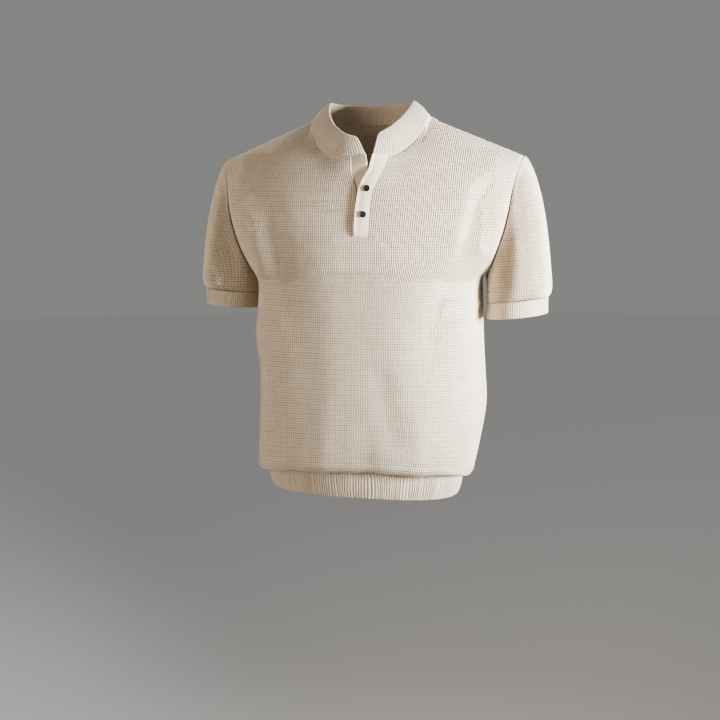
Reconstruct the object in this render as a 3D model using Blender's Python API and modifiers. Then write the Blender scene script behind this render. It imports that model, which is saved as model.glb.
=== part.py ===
"""A worn short-sleeve knit henley: hollow knitted walls, open at neck, hem and cuffs.

Metres, +Z up. The wearer faces -Y and the wearer's left is +X. The origin is the middle of the neck
opening, level with the points where shoulder seams and collar meet.
"""

import math

import bmesh
import bpy
import numpy as np

# Driving sizes
WALL = 0.0022  # knitted cloth of panels and sleeves
BAND_WALL = 0.0030  # ribbed bands, from rib crest to inside
RIB_DEPTH = 0.0009
SEAM_GAP = 0.0003
EDGE_TRIM = 0.0002  # what each of two sewn panels keeps off their seam
INNER_STEP = 4  # columns of a ribbed band's outside to each one of its plain inside
CURVE_SAMPLES = 180  # points along a curve before it is shared out
SHARP_ANGLE = math.radians(50)
SHOULDER_HALF = 0.2500  # middle of the neck to the shoulder tip
SHOULDER_SLOPE = 0.42
NECK_HALF = 0.0960
NECK_SIDE_Z = -0.0060
NECK_SIDE_Y = 0.0050
# Middle of the neckline, and how square it is, seen from the front.
FRONT_NECK = {"y": -0.0950, "z": -0.0710, "power": 6.0}
BACK_NECK = {"y": 0.0800, "z": -0.0130, "power": 12.0}

# Levels of the body from the waist seam, under the blouse's lip and up to the chest, where the
# yoke begins: heights at the side and at the middle, widths each side of the middle, depths
# front and back, how far the front and back edges stand off the side (the armhole), and how square
# the section is.
LEVEL_COLUMNS = (
    "side_z", "mid_z", "right_x", "left_x", "front_y", "back_y", "edge_y", "squareness"
)
LEVELS = {
    "seam": (-0.5740, -0.5540, 0.1760, 0.1520, -0.1110, 0.0920, 0.0, 2.4),
    "under": (-0.5860, -0.5620, 0.1775, 0.1545, -0.1150, 0.0970, 0.0, 2.4),
    "lip": (-0.5910, -0.5670, 0.1830, 0.1600, -0.1225, 0.1045, 0.0, 2.5),
    "turn": (-0.5860, -0.5620, 0.1885, 0.1665, -0.1300, 0.1110, 0.0, 2.6),
    "low": (-0.5700, -0.5450, 0.1885, 0.1710, -0.1335, 0.1140, 0.0, 2.7),
    "hip": (-0.5300, -0.5150, 0.1860, 0.1790, -0.1340, 0.1155, 0.0, 2.8),
    "waist": (-0.4720, -0.4660, 0.1830, 0.1880, -0.1330, 0.1155, 0.0, 2.9),
    "rib": (-0.4120, -0.4100, 0.1830, 0.1855, -0.1310, 0.1155, 0.0, 2.9),
    "bulge": (-0.3500, -0.3500, 0.1895, 0.1825, -0.1300, 0.1165, 0.0, 2.9),
    "cuff": (-0.3120, -0.3150, 0.1850, 0.1820, -0.1295, 0.1175, 0.0, 2.9),
    "underarm": (-0.2600, -0.2680, 0.1850, 0.1850, -0.1290, 0.1180, 0.0, 2.9),
    "gusset": (-0.2560, -0.2600, 0.1890, 0.1890, -0.1290, 0.1180, 0.0120, 2.85),
    "pit": (-0.2460, -0.2500, 0.1965, 0.1965, -0.1290, 0.1180, 0.0260, 2.7),
    "breast": (-0.2260, -0.2260, 0.2060, 0.2060, -0.1285, 0.1180, 0.0430, 2.5),
    "slit": (-0.1970, -0.1970, 0.2170, 0.2180, -0.1265, 0.1175, 0.0500, 2.3),
    "chest": (-0.1500, -0.1550, 0.2290, 0.2295, -0.1215, 0.1150, 0.0500, 2.2),
}
UNDERARM = list(LEVELS).index("underarm")
SLIT = list(LEVELS).index("slit")
YOKE_STEPS = (0.16, 0.32, 0.47, 0.61, 0.75, 0.88, 1.0)
YOKE_PULL = {"back": 0.22, "front_middle": 0.55, "back_middle": 0.72, "shoulder": 0.86}

# Columns, as a share of the width from the middle to the edge: the slit's edge, the neckline,
# then even steps along the shoulder seam.
NECK_ANGLES = (26.0, 44.0, 60.0, 76.0, 90.0)
SLIT_SHARE = 0.04
SHOULDER_COLUMNS = 7

# The slit, level by level: the panel's edge on the wearer's right, the free edge of the under
# placket and the free edge of the over placket.
SLIT_COLUMNS = ("z", "panel_x", "under_x", "over_x")
SLIT_EDGES = (
    (-0.1970, -0.0035, 0.0180, -0.0030),
    (-0.1500, -0.0015, 0.0180, -0.0005),
    (-0.1250, -0.0010, 0.0175, 0.0025),
    (-0.1100, -0.0060, 0.0170, 0.0080),
    (-0.0950, -0.0110, 0.0150, 0.0165),
    (-0.0710, -0.0130, 0.0100, 0.0205),
)
PLACKET_WIDTH = 0.0240
PLACKET_LAP = 0.0080  # how far the over placket's free edge stands past the panel's edge
PLACKET_TUCK = 0.0030  # how far the under placket reaches behind the panel's edge
PLACKET_LIFT = 0.0005
PLACKET_COLUMNS = 5

# The largest soft folds: where they run on the front, half-width and depth (inward).
FOLD_COLUMNS = ("x_top", "z_top", "x_low", "z_low", "half_width", "depth")
FOLD_FADE_POWER = 4
FRONT_FOLDS = (
    (0.2080, -0.1250, 0.1900, -0.2500, 0.0200, 0.0060),
    (-0.1200, -0.1300, -0.0800, -0.5200, 0.0420, 0.0040),
    (0.1100, -0.3300, 0.1500, -0.5000, 0.0380, 0.0030),
)
BACK_FOLDS = (
    (0.2000, -0.1400, 0.1800, -0.2700, 0.0220, 0.0050),
    (-0.2000, -0.1350, -0.1800, -0.2500, 0.0220, 0.0050),
    (0.0400, -0.2600, 0.0700, -0.5300, 0.0420, 0.0045),
)

# Sleeves: side, then the middle of the cuff's lower edge, and how the sleeve blouses over it.
SLEEVE_COLUMNS = ("side", "cuff_x", "cuff_z", "cuff_half_x")
SLEEVES = {"left": (1.0, 0.2390, -0.3245, 0.0485), "right": (-1.0, 0.2370, -0.3100, 0.0455)}
CUFF_HALF_Y = 0.0625
CUFF_HEIGHT = 0.0260
CUFF_TILT = 0.10  # the outer side of the cuff is higher
CUFF_RIBS = 84
SLEEVE_PULL = np.array((0.80, 0.70, 0.25))
SLEEVE_STEPS = (0.13, 0.25, 0.37, 0.49, 0.61, 0.74, 0.87, 1.0)
SLEEVE_SWELL = 0.0055  # how far the sleeve stands out over the cuff
SLEEVE_TURN = ((0.0130, 1.0), (0.0045, 0.68), (0.0, 0.10))  # height over cuff, share of the swell
ARMHOLE_LEAN = np.array((0.0, 0.0, -0.3))  # turns the armhole seam's wall down, so its ends meet

WAIST_RIBS = 204
WAIST_CLEAR = 0.0006
WAIST_ROWS = ((0.0, 0.0), (0.55, 0.0010), (1.0, 0.0060))  # share of the height, inset
WAIST_LOW = {"right": -0.6070, "middle": -0.6115, "left": -0.6180}

COLLAR_RIBS = 136
COLLAR_TOP = {
    "half_x": 0.0690,
    "front_y": -0.0830,
    "back_y": 0.0700,
    "side_y": 0.0080,
    "front_z": -0.0420,
    "side_z": 0.0200,
    "back_z": 0.0190,
}
COLLAR_TOP_ENDS = {"left": 0.0280, "right": -0.0060}
COLLAR_BOTTOM_ENDS = {"left": 0.0205, "right": 0.0100}
COLLAR_SWELL = 0.0025
COLLAR_DIP_POWER = 1.2
COLLAR_FLAT_ENDS = 3  # columns without ribs at each end

BUTTON_RADIUS = 0.0052
BUTTON_HEIGHT = 0.0024
BUTTON_RIM = 0.0006
BUTTON_HOLE = 0.00065
BUTTON_HOLE_OFFSET = 0.0013
BUTTON_FLOOR = (BUTTON_HEIGHT - BUTTON_RIM) / BUTTON_HEIGHT
# From the sunk middle over the rim and round to the underside: shares of the radius and height.
BUTTON_PROFILE = (
    (0.0, BUTTON_FLOOR),
    (0.62, BUTTON_FLOOR),
    (0.76, 1.0),
    (0.90, 0.95),
    (1.0, 0.62),
    (0.90, 0.18),
    (0.70, 0.0),
    (0.0, 0.0),
)
BUTTON_SIDES = 24
BUTTON_HOLE_SIDES = 8
BUTTON_HOLES = 4
BUTTONS = {"button_upper": -0.1240, "button_lower": -0.1630}
BUTTON_INSET = 0.0130  # from the over placket's free edge

OATMEAL = (0.66, 0.59, 0.49)
DARK_HORN = (0.02, 0.015, 0.012)


def named(columns, values):
    return dict(zip(columns, values))


def material(name, color, roughness):
    made = bpy.data.materials.new(name)
    made.use_nodes = True
    shader = made.node_tree.nodes["Principled BSDF"]
    shader.inputs["Base Color"].default_value = (*color, 1.0)
    shader.inputs["Roughness"].default_value = roughness
    shader.inputs["Metallic"].default_value = 0.0
    return made


def unit(vectors):
    return vectors / np.linalg.norm(vectors, axis=-1, keepdims=True)


def spread(curve, shares):
    """Points at these shares of the curve's length."""
    steps = np.linalg.norm(np.diff(curve, axis=0), axis=1)
    along = np.concatenate(([0.0], np.cumsum(steps)))
    return np.stack([np.interp(np.asarray(shares) * along[-1], along, c) for c in curve.T], axis=1)


def bezier(start, pull, end, share):
    return (1 - share) ** 2 * start + 2 * share * (1 - share) * pull + share**2 * end


def wall(name, outer, inner, look, closed=False, missing=()):
    """A closed shell between two grids of points. The outer grid may have several columns to each
    of the inner one, as ribs need. `missing` lists the inner grid's cells that are cut away. The
    faces of an open shell's two halves start at mirrored corners, so that they split alike."""
    rows, fine = outer.shape[:2]
    coarse = inner.shape[1]
    cells = coarse if closed else coarse - 1
    ratio = (fine if closed else fine - 1) // cells
    first_inner = rows * fine

    def out(i, j):
        return i * fine + j % fine

    def inn(i, j):
        return first_inner + i * coarse + j % coarse

    kept = {(i, j) for i in range(rows - 1) for j in range(cells)} - set(missing)
    faces = []
    for i, j in sorted(kept):
        span = range(j * ratio, (j + 1) * ratio)
        quads = [[out(i, k), out(i, k + 1), out(i + 1, k + 1), out(i + 1, k)] for k in span]
        quads.append([inn(i, j), inn(i, j + 1), inn(i + 1, j + 1), inn(i + 1, j)])
        mirrored = not closed and j < cells // 2
        faces += [quad[1:] + quad[:1] if mirrored else quad for quad in quads]
        left = (i, (j - 1) % cells) if closed else (i, j - 1)
        right = (i, (j + 1) % cells) if closed else (i, j + 1)
        edge = [*span, (j + 1) * ratio]
        if (i - 1, j) not in kept:
            faces.append((*[out(i, k) for k in reversed(edge)], inn(i, j), inn(i, j + 1)))
        if (i + 1, j) not in kept:
            faces.append((*[out(i + 1, k) for k in edge], inn(i + 1, j + 1), inn(i + 1, j)))
        if left not in kept:
            faces.append((out(i + 1, edge[0]), inn(i + 1, j), inn(i, j), out(i, edge[0])))
        if right not in kept:
            k = edge[-1]
            faces.append((out(i + 1, k), out(i, k), inn(i, j + 1), inn(i + 1, j + 1)))
    points = np.concatenate((outer.reshape(-1, 3), inner.reshape(-1, 3)))
    return mesh_object(name, points, faces, look)


def mesh_object(name, points, faces, look):
    mesh = bpy.data.meshes.new(name)
    mesh.from_pydata([tuple(p) for p in points], [], faces)
    facing_out = bmesh.new()
    facing_out.from_mesh(mesh)
    bmesh.ops.recalc_face_normals(facing_out, faces=facing_out.faces)
    facing_out.to_mesh(mesh)
    facing_out.free()
    made = bpy.data.objects.new(name, mesh)
    garment.objects.link(made)
    mesh.materials.append(look)
    mesh.shade_smooth()
    mesh.set_sharp_from_angle(angle=SHARP_ANGLE)
    return made


def normals(grid, closed=False):
    """Unit normals of a grid of points, rows going up and columns round from the wearer's right."""
    if closed:
        across = np.roll(grid, -1, axis=1) - np.roll(grid, 1, axis=1)
    else:
        across = np.gradient(grid, axis=1)
    return unit(np.cross(across, np.gradient(grid, axis=0)))


# --- body ---------------------------------------------------------------------------------------


def column_shares():
    """The columns of a panel's half, as shares of the way from its middle to its edge."""
    neck = NECK_HALF / SHOULDER_HALF
    shares = [SLIT_SHARE] + [neck * math.sin(math.radians(a)) for a in NECK_ANGLES]
    steps = (1.0 - neck) / SHOULDER_COLUMNS
    return np.array(shares + [neck + steps * k for k in range(1, SHOULDER_COLUMNS + 1)])


def half_section(half_x, depth, edge_y, power, shares):
    """A level section's half, from the middle out to the edge, as x and depth."""
    stop = (abs(edge_y) / depth) ** (power / 2)
    full_x = half_x / (1.0 - stop**2) ** (1.0 / power)
    angles = np.linspace(0.0, math.acos(stop), CURVE_SAMPLES)
    x = full_x * np.sin(angles) ** (2 / power)
    y = depth * np.clip(np.cos(angles), 0.0, 1.0) ** (2 / power)
    return spread(np.stack((x, y), axis=1), shares)


def level_row(level, facing, shares):
    """One level of the front (facing -1) or the back (+1), from the wearer's right to the left."""
    depth = abs(level["front_y"] if facing < 0 else level["back_y"])
    halves = []
    for side, half_x in ((-1.0, level["right_x"]), (1.0, level["left_x"])):
        flat = half_section(half_x, depth, level["edge_y"], level["squareness"], shares)
        z = level["mid_z"] + (level["side_z"] - level["mid_z"]) * shares**2
        halves.append(np.stack((side * flat[:, 0], facing * flat[:, 1], z), axis=1))
    return np.concatenate((halves[0][::-1], halves[1]))


def top_row(facing, shares):
    """The neckline and, past it, the shoulder seam."""
    neck = FRONT_NECK if facing < 0 else BACK_NECK
    x = shares * SHOULDER_HALF
    inside = np.clip(x / NECK_HALF, 0.0, 1.0)
    scoop = 1.0 - inside ** neck["power"]
    bow = np.sqrt(1.0 - inside**2)
    z = NECK_SIDE_Z + (neck["z"] - NECK_SIDE_Z) * scoop
    z -= SHOULDER_SLOPE * np.clip(x - NECK_HALF, 0.0, None)
    y = NECK_SIDE_Y + (neck["y"] - NECK_SIDE_Y) * bow
    half = np.stack((x, y, z), axis=1)
    return np.concatenate((half[::-1] * (-1.0, 1.0, 1.0), half))


def slit_edge(column, z):
    table = np.array(SLIT_EDGES)
    return np.interp(z, table[:, 0], table[:, SLIT_COLUMNS.index(column)])


def panel_grid(facing):
    shares = column_shares()
    rows = [level_row(named(LEVEL_COLUMNS, level), facing, shares) for level in LEVELS.values()]
    chest, top = rows[-1], top_row(facing, shares)
    middle = YOKE_PULL["front_middle" if facing < 0 else "back_middle"]
    lift = np.interp(shares, (0.0, 1.0), (middle, YOKE_PULL["shoulder"]))
    lift = np.concatenate((lift[::-1], lift))
    pull = (chest + top) / 2
    pull[:, 1] = chest[:, 1] + YOKE_PULL["back"] * (top[:, 1] - chest[:, 1])
    pull[:, 2] = chest[:, 2] + lift * (top[:, 2] - chest[:, 2])
    rows += [bezier(chest, pull, top, share) for share in YOKE_STEPS]
    return np.array(rows)


def on_row(row, x):
    """The points of a row at these x."""
    return np.stack([np.interp(x, row[:, 0], values) for values in row.T], axis=-1)


def slit_opened(grid):
    """The front with its two middle columns moved onto the slit's edges."""
    grid, whole = grid.copy(), grid
    middle = grid.shape[1] // 2
    for row, line in zip(grid[SLIT:], whole[SLIT:]):
        z = line[middle, 2]
        row[middle - 1] = on_row(line, slit_edge("panel_x", z))
        row[middle] = on_row(line, slit_edge("over_x", z) + PLACKET_LAP)
    return grid


def folded(grid, folds):
    """Presses soft folds into a panel, along its normals and fading out at their ends."""
    inward = -normals(grid)
    for values in folds:
        fold = named(FOLD_COLUMNS, values)
        down = (fold["z_top"] - grid[..., 2]) / (fold["z_top"] - fold["z_low"])
        line = fold["x_top"] + (fold["x_low"] - fold["x_top"]) * down
        across = (grid[..., 0] - line) / fold["half_width"]
        fade = np.exp(-((2 * down - 1) ** FOLD_FADE_POWER))
        depth = fold["depth"] * np.exp(-(across**2)) * fade
        depth[:, (0, -1)] = 0.0
        grid = grid + inward * depth[..., None]
    return grid


def shrink(grid, amount, edges):
    """Draws the named edges of a grid in towards its next row or column."""
    grid = grid.copy()
    if "top" in edges:
        grid[-1] += amount * unit(grid[-2] - grid[-1])
    if "bottom" in edges:
        grid[0] += amount * unit(grid[1] - grid[0])
    if "sides" in edges:
        grid[:, 0] += amount * unit(grid[:, 1] - grid[:, 0])
        grid[:, -1] += amount * unit(grid[:, -2] - grid[:, -1])
    return grid


# --- sleeves and cuffs ----------------------------------------------------------------------------


def cuff_ring(sleeve, angles, height, outset=0.0, swell=0.0):
    """A level ring over the cuff's lower edge. Angles go from the inside round by the front. An
    outset widens it all round, and a swell everywhere but next to the body."""
    half_x = sleeve["cuff_half_x"] + outset + swell / 2
    half_y = CUFF_HALF_Y + outset + swell
    x = swell / 2 - half_x * np.cos(angles)
    y = -half_y * np.sin(angles)
    z = sleeve["cuff_z"] + height + CUFF_TILT * x
    return np.stack((sleeve["side"] * (sleeve["cuff_x"] + x), y, z), axis=1)


def armhole(front, back, side):
    """The armhole's points, from the underarm up the front and down the back."""
    column = -1 if side > 0 else 0
    return np.concatenate((front[UNDERARM:, column], back[UNDERARM + 1 : -1, column][::-1]))


def sleeve_grid(sleeve, ring):
    """Rows from the armhole down to the cuff."""
    closed = np.concatenate((ring, ring[:1]))
    steps = np.linalg.norm(np.diff(closed, axis=0), axis=1)
    angles = 2 * math.pi * np.concatenate(([0.0], np.cumsum(steps)[:-1])) / steps.sum()
    swollen, *turn = (
        cuff_ring(sleeve, angles, CUFF_HEIGHT + height, swell=SLEEVE_SWELL * share)
        for height, share in SLEEVE_TURN
    )
    pull = ring + (swollen - ring) * SLEEVE_PULL
    return np.array([ring, *(bezier(ring, pull, swollen, share) for share in SLEEVE_STEPS), *turn])


def ribbed(base, direction, flat_ends=0):
    """Lowers every second column of a smooth grid by the ribs' depth."""
    valley = np.arange(base.shape[1]) % 2 == 1
    if flat_ends:
        valley[:flat_ends] = False
        valley[-flat_ends:] = False
    return base - RIB_DEPTH * valley[None, :, None] * direction


def make_cuff(name, sleeve, look):
    fine = 2 * CUFF_RIBS
    angles = 2 * math.pi * np.arange(fine) / fine
    heights = (0.0, CUFF_HEIGHT - SEAM_GAP)
    outer = np.array([cuff_ring(sleeve, angles, h) for h in heights])
    inner = np.array([cuff_ring(sleeve, angles[::INNER_STEP], h, outset=-BAND_WALL) for h in heights])
    outward = np.array([cuff_ring(sleeve, angles, h, outset=1.0) for h in heights]) - outer
    wall(name, ribbed(outer, unit(outward)), inner, look, closed=True)


# --- waistband --------------------------------------------------------------------------------------


def waist_ring(seam_ring, shares, height_share, inset):
    """A level of the waistband, worked out from the body's seam ring."""
    ring = spread(np.concatenate((seam_ring, seam_ring[:1])), shares)
    middle = ring.mean(axis=0)
    away = ring - middle
    away[:, 2] = 0.0
    sideways = away[:, 0] / np.abs(away[:, 0]).max()
    side_z = np.where(sideways > 0, WAIST_LOW["left"], WAIST_LOW["right"])
    low = WAIST_LOW["middle"] + (side_z - WAIST_LOW["middle"]) * sideways**2
    ring[:, 2] += height_share * (low - ring[:, 2])
    ring -= unit(away) * inset
    return ring, unit(away)


def make_waistband(seam_ring, look):
    fine = 2 * WAIST_RIBS
    shares = np.arange(fine) / fine
    outer, inner, away = [], [], []
    for height_share, inset in WAIST_ROWS:
        ring, outward = waist_ring(seam_ring, shares, height_share, inset + WAIST_CLEAR)
        outer.append(ring)
        away.append(outward)
        inner.append((ring - BAND_WALL * outward)[::INNER_STEP])
    outer = ribbed(np.array(outer), np.array(away))
    wall("waistband", outer, np.array(inner), look, closed=True)


# --- collar -----------------------------------------------------------------------------------------


def collar_top(shares):
    """The collar's upper edge, from the wearer's left end round the back to the right end."""
    angles = np.linspace(-math.pi / 2, 1.5 * math.pi, 2 * CURVE_SAMPLES + 1)
    x = COLLAR_TOP["half_x"] * np.cos(angles)
    bow = np.sin(angles)
    front = bow < 0
    y_end = np.where(front, COLLAR_TOP["front_y"], COLLAR_TOP["back_y"])
    z_end = np.where(front, COLLAR_TOP["front_z"], COLLAR_TOP["back_z"])
    y = COLLAR_TOP["side_y"] + (y_end - COLLAR_TOP["side_y"]) * np.abs(bow)
    z = COLLAR_TOP["side_z"] + (z_end - COLLAR_TOP["side_z"]) * np.abs(bow) ** COLLAR_DIP_POWER
    return between_ends(np.stack((x, y, z), axis=1), COLLAR_TOP_ENDS, shares)


def between_ends(loop, ends, shares):
    """Shares of a loop that starts at the middle front, between two ends given by their x."""
    steps = np.linalg.norm(np.diff(loop, axis=0), axis=1)
    along = np.concatenate(([0.0], np.cumsum(steps)))
    start, stop = ends["left"], along[-1] + ends["right"]
    lengths = start + np.asarray(shares) * (stop - start)
    wrapped = np.concatenate((along, along[1:] + along[-1]))
    points = np.concatenate((loop, loop[1:]))
    return np.stack([np.interp(lengths, wrapped, c) for c in points.T], axis=1)


def make_collar(front, back, look):
    middle = front.shape[1] // 2
    left_neck = front[-1, middle : middle + len(NECK_ANGLES) + 1]
    right_neck = front[-1, middle - len(NECK_ANGLES) - 1 : middle]
    back_neck = back[-1, middle - len(NECK_ANGLES) : middle + len(NECK_ANGLES)][::-1]
    mid_front = np.array([[0.0, FRONT_NECK["y"], left_neck[0, 2]]])
    loop = np.concatenate((mid_front, left_neck, back_neck, right_neck, mid_front))
    fine = 2 * COLLAR_RIBS + 1
    shares = np.linspace(0.0, 1.0, fine)
    low = between_ends(loop, COLLAR_BOTTOM_ENDS, shares)
    low[:, 2] += SEAM_GAP
    high = collar_top(shares)
    mid = (low + high) / 2
    up = unit(high - low)
    along = unit(np.gradient(mid, axis=0))
    outward = unit(np.cross(along, up))
    mid += COLLAR_SWELL * outward
    base = np.array((low, mid, high))
    level = unit(outward * (1.0, 1.0, 0.0))
    away = np.array((level, outward, outward))
    inner = (base - BAND_WALL * away)[:, ::INNER_STEP]
    wall("collar", ribbed(base, away, flat_ends=COLLAR_FLAT_ENDS), inner, look)


# --- plackets and buttons -----------------------------------------------------------------------------


def placket_wall(name, whole_front, edges, lift, look):
    """A strip made from the front's own rows, between two edges given as x for each height."""
    rows = whole_front[SLIT:]
    middle = whole_front.shape[1] // 2
    shares = np.linspace(0.0, 1.0, PLACKET_COLUMNS)
    lines, outs = [], []
    for row, out in zip(rows, normals(whole_front)[SLIT:]):
        x0, x1 = edges(row[middle, 2])
        x = x0 + (x1 - x0) * shares
        lines.append(on_row(row, x))
        outs.append(unit(np.stack([np.interp(x, row[:, 0], n) for n in out.T], axis=1)))
    outs = np.array(outs)
    outer = shrink(np.array(lines) + lift * outs, SEAM_GAP, ("top",))
    wall(name, outer, outer - WALL * outs, look)


def over_edges(z):
    free = float(slit_edge("over_x", z))
    return free, free + PLACKET_WIDTH


def under_edges(z):
    return float(slit_edge("panel_x", z)) - PLACKET_TUCK, float(slit_edge("under_x", z))


def make_button(name, z, whole_front, look):
    """A four-hole button that lies on the over placket at this height."""
    middle = whole_front.shape[1] // 2
    heights = whole_front[SLIT:, middle, 2]
    x = float(slit_edge("over_x", z)) + BUTTON_INSET
    points = np.array([on_row(row, x) for row in whole_front[SLIT:]])
    along = unit(np.gradient(points, axis=0))
    place = np.array([np.interp(z, heights, values) for values in points.T])
    rise = unit(np.array([np.interp(z, heights, values) for values in along.T]))
    away = np.array((0.0, -rise[2], rise[1]))
    place = place + away * (WALL + PLACKET_LIFT + SEAM_GAP)
    mesh = bpy.data.meshes.new(name)
    profile = [(BUTTON_RADIUS * r, 0.0, BUTTON_HEIGHT * h) for r, h in BUTTON_PROFILE]
    mesh.from_pydata(profile, [(k, k + 1) for k in range(len(profile) - 1)], [])
    mesh.materials.append(look)
    button = bpy.data.objects.new(name, mesh)
    garment.objects.link(button)
    turn = button.modifiers.new("turned", "SCREW")
    turn.steps = turn.render_steps = BUTTON_SIDES
    turn.use_merge_vertices = True
    turn.merge_threshold = 0.00005
    button.location = place
    button.rotation_euler = (math.atan2(-away[1], away[2]), 0.0, 0.0)
    for k in range(BUTTON_HOLES):
        drill = bore(f"{name}_hole_{k}", 2 * math.pi * (k + 0.5) / BUTTON_HOLES, button)
        cut = button.modifiers.new(f"hole {k}", "BOOLEAN")
        cut.object = drill


def bore(name, angle, button):
    bpy.ops.mesh.primitive_cylinder_add(
        vertices=BUTTON_HOLE_SIDES, radius=BUTTON_HOLE, depth=4 * BUTTON_HEIGHT
    )
    drill = bpy.context.object
    drill.name = name
    drill.parent = button
    drill.location = (BUTTON_HOLE_OFFSET * math.cos(angle), BUTTON_HOLE_OFFSET * math.sin(angle), 0.0)
    drill.hide_render = True
    drill.display_type = "WIRE"
    for owner in drill.users_collection:
        owner.objects.unlink(drill)
    cutters.objects.link(drill)
    return drill


# --- the garment --------------------------------------------------------------------------------------


def seam_normals(front_out, back_out):
    """Front and back share their normals where they are sewn, so that their walls meet square."""
    for column in (0, -1):
        joined = unit(front_out[: UNDERARM + 1, column] + back_out[: UNDERARM + 1, column])
        front_out[: UNDERARM + 1, column] = back_out[: UNDERARM + 1, column] = joined
    neck_columns = len(NECK_ANGLES)
    middle = front_out.shape[1] // 2
    for part in (slice(0, middle - neck_columns), slice(middle + neck_columns, None)):
        joined = unit(front_out[-1, part] + back_out[-1, part])
        front_out[-1, part] = back_out[-1, part] = joined


def share_armhole(front_out, back_out, sleeve_out, side):
    """The sleeve's first row and the panels' armhole edges get one common normal."""
    column = -1 if side > 0 else 0
    rows = front_out.shape[0] - UNDERARM
    ring = armhole(front_out, back_out, side)
    joined = unit(ring + sleeve_out[0] + ARMHOLE_LEAN)
    sleeve_out[0] = joined
    front_out[UNDERARM:, column] = joined[:rows]
    back_out[UNDERARM, column] = joined[0]
    back_out[-1, column] = joined[rows - 1]
    back_out[UNDERARM + 1 : -1, column] = joined[rows:][::-1]


def build():
    knit = material("oatmeal_knit", OATMEAL, 0.9)
    rib = material("oatmeal_rib", OATMEAL, 0.9)
    horn = material("dark_button", DARK_HORN, 0.25)

    front = panel_grid(-1.0)
    whole_front = folded(front, FRONT_FOLDS)
    front = slit_opened(whole_front)
    back = panel_grid(1.0)[:, ::-1]
    back = folded(back, BACK_FOLDS)[:, ::-1]
    front_out = normals(front)
    back_out = -normals(back)
    seam_normals(front_out, back_out)

    for name, values in SLEEVES.items():
        sleeve = named(SLEEVE_COLUMNS, values)
        grid = sleeve_grid(sleeve, armhole(front, back, sleeve["side"]))
        out = -sleeve["side"] * normals(grid, closed=True)
        share_armhole(front_out, back_out, out, sleeve["side"])
        outer = shrink(grid, EDGE_TRIM, ("bottom",))
        wall(f"sleeve_{name}", outer, outer - WALL * out, knit, closed=True)
        make_cuff(f"cuff_{name}", sleeve, rib)

    middle = front.shape[1] // 2
    slit_cells = [(i, middle - 1) for i in range(SLIT, front.shape[0] - 1)]
    trimmed = shrink(front, EDGE_TRIM, ("top", "sides"))
    wall("front", trimmed, trimmed - WALL * front_out, knit, missing=slit_cells)
    trimmed = shrink(back, EDGE_TRIM, ("top", "sides"))
    wall("back", trimmed, trimmed - WALL * back_out, knit)

    make_waistband(np.concatenate((front[0], back[0, ::-1][1:-1])), rib)
    make_collar(front, back, rib)
    placket_wall("placket_over", whole_front, over_edges, WALL + PLACKET_LIFT, knit)
    placket_wall("placket_under", whole_front, under_edges, -WALL - PLACKET_LIFT, knit)
    for name, z in BUTTONS.items():
        make_button(name, z, whole_front, horn)


for old in list(bpy.data.objects):
    bpy.data.objects.remove(old, do_unlink=True)
garment = bpy.data.collections.new("knit_henley")
cutters = bpy.data.collections.new("cutters")
bpy.context.scene.collection.children.link(garment)
bpy.context.scene.collection.children.link(cutters)
build()
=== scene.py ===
"""A worn short-sleeve henley in oatmeal tuck knit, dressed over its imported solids.

Metres, +Z up. The wearer faces -Y and the wearer's left is +X. The origin is the middle of the neck
opening, level with the points where shoulder seams and collar meet.
"""

import math
import bpy
import numpy as np
from mathutils import Matrix, Vector


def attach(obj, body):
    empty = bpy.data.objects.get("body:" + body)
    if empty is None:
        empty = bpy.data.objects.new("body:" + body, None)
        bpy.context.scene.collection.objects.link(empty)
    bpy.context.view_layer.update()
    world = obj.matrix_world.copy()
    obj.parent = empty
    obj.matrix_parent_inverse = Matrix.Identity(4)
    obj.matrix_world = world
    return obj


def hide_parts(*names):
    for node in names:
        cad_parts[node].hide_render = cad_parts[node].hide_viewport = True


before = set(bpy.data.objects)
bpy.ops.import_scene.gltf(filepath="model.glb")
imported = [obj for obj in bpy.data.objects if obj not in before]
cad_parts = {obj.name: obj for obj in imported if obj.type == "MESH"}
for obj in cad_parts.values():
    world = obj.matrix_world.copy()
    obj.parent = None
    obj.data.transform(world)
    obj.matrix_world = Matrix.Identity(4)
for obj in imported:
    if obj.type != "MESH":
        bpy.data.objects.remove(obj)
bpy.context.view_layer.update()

# --- camera ---------------------------------------------------------------------------------------
# The photograph's angle: a little from the wearer's left and from above, about two metres away. The
# focal length is the one that gives the photograph's frame of 720 x 720.

CAMERA_PLACE = (0.3698, -1.8382, -0.1720)
CAMERA_TURN = math.radians(12.0)
CAMERA_DIP = math.radians(7.0)
CAMERA_ROLL = math.radians(-0.33)
CAMERA_FOCUS = 1135.0 / 720.0  # focal length as a share of the frame's width

camera_data = bpy.data.cameras.new("camera")
camera_data.sensor_width = 36.0
camera_data.lens = 36.0 * CAMERA_FOCUS
camera = bpy.data.objects.new("camera", camera_data)
bpy.context.scene.collection.objects.link(camera)
ahead = Vector(
    (
        -math.sin(CAMERA_TURN) * math.cos(CAMERA_DIP),
        math.cos(CAMERA_TURN) * math.cos(CAMERA_DIP),
        -math.sin(CAMERA_DIP),
    )
)
sideways = Vector((math.cos(CAMERA_TURN), math.sin(CAMERA_TURN), 0.0))
upward = sideways.cross(ahead)
rolled_side = sideways * math.cos(CAMERA_ROLL) + upward * math.sin(CAMERA_ROLL)
rolled_up = upward * math.cos(CAMERA_ROLL) - sideways * math.sin(CAMERA_ROLL)
turn = Matrix((rolled_side, rolled_up, -ahead)).transposed()
camera.matrix_world = Matrix.Translation(CAMERA_PLACE) @ turn.to_4x4()
bpy.context.scene.camera = camera

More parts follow.
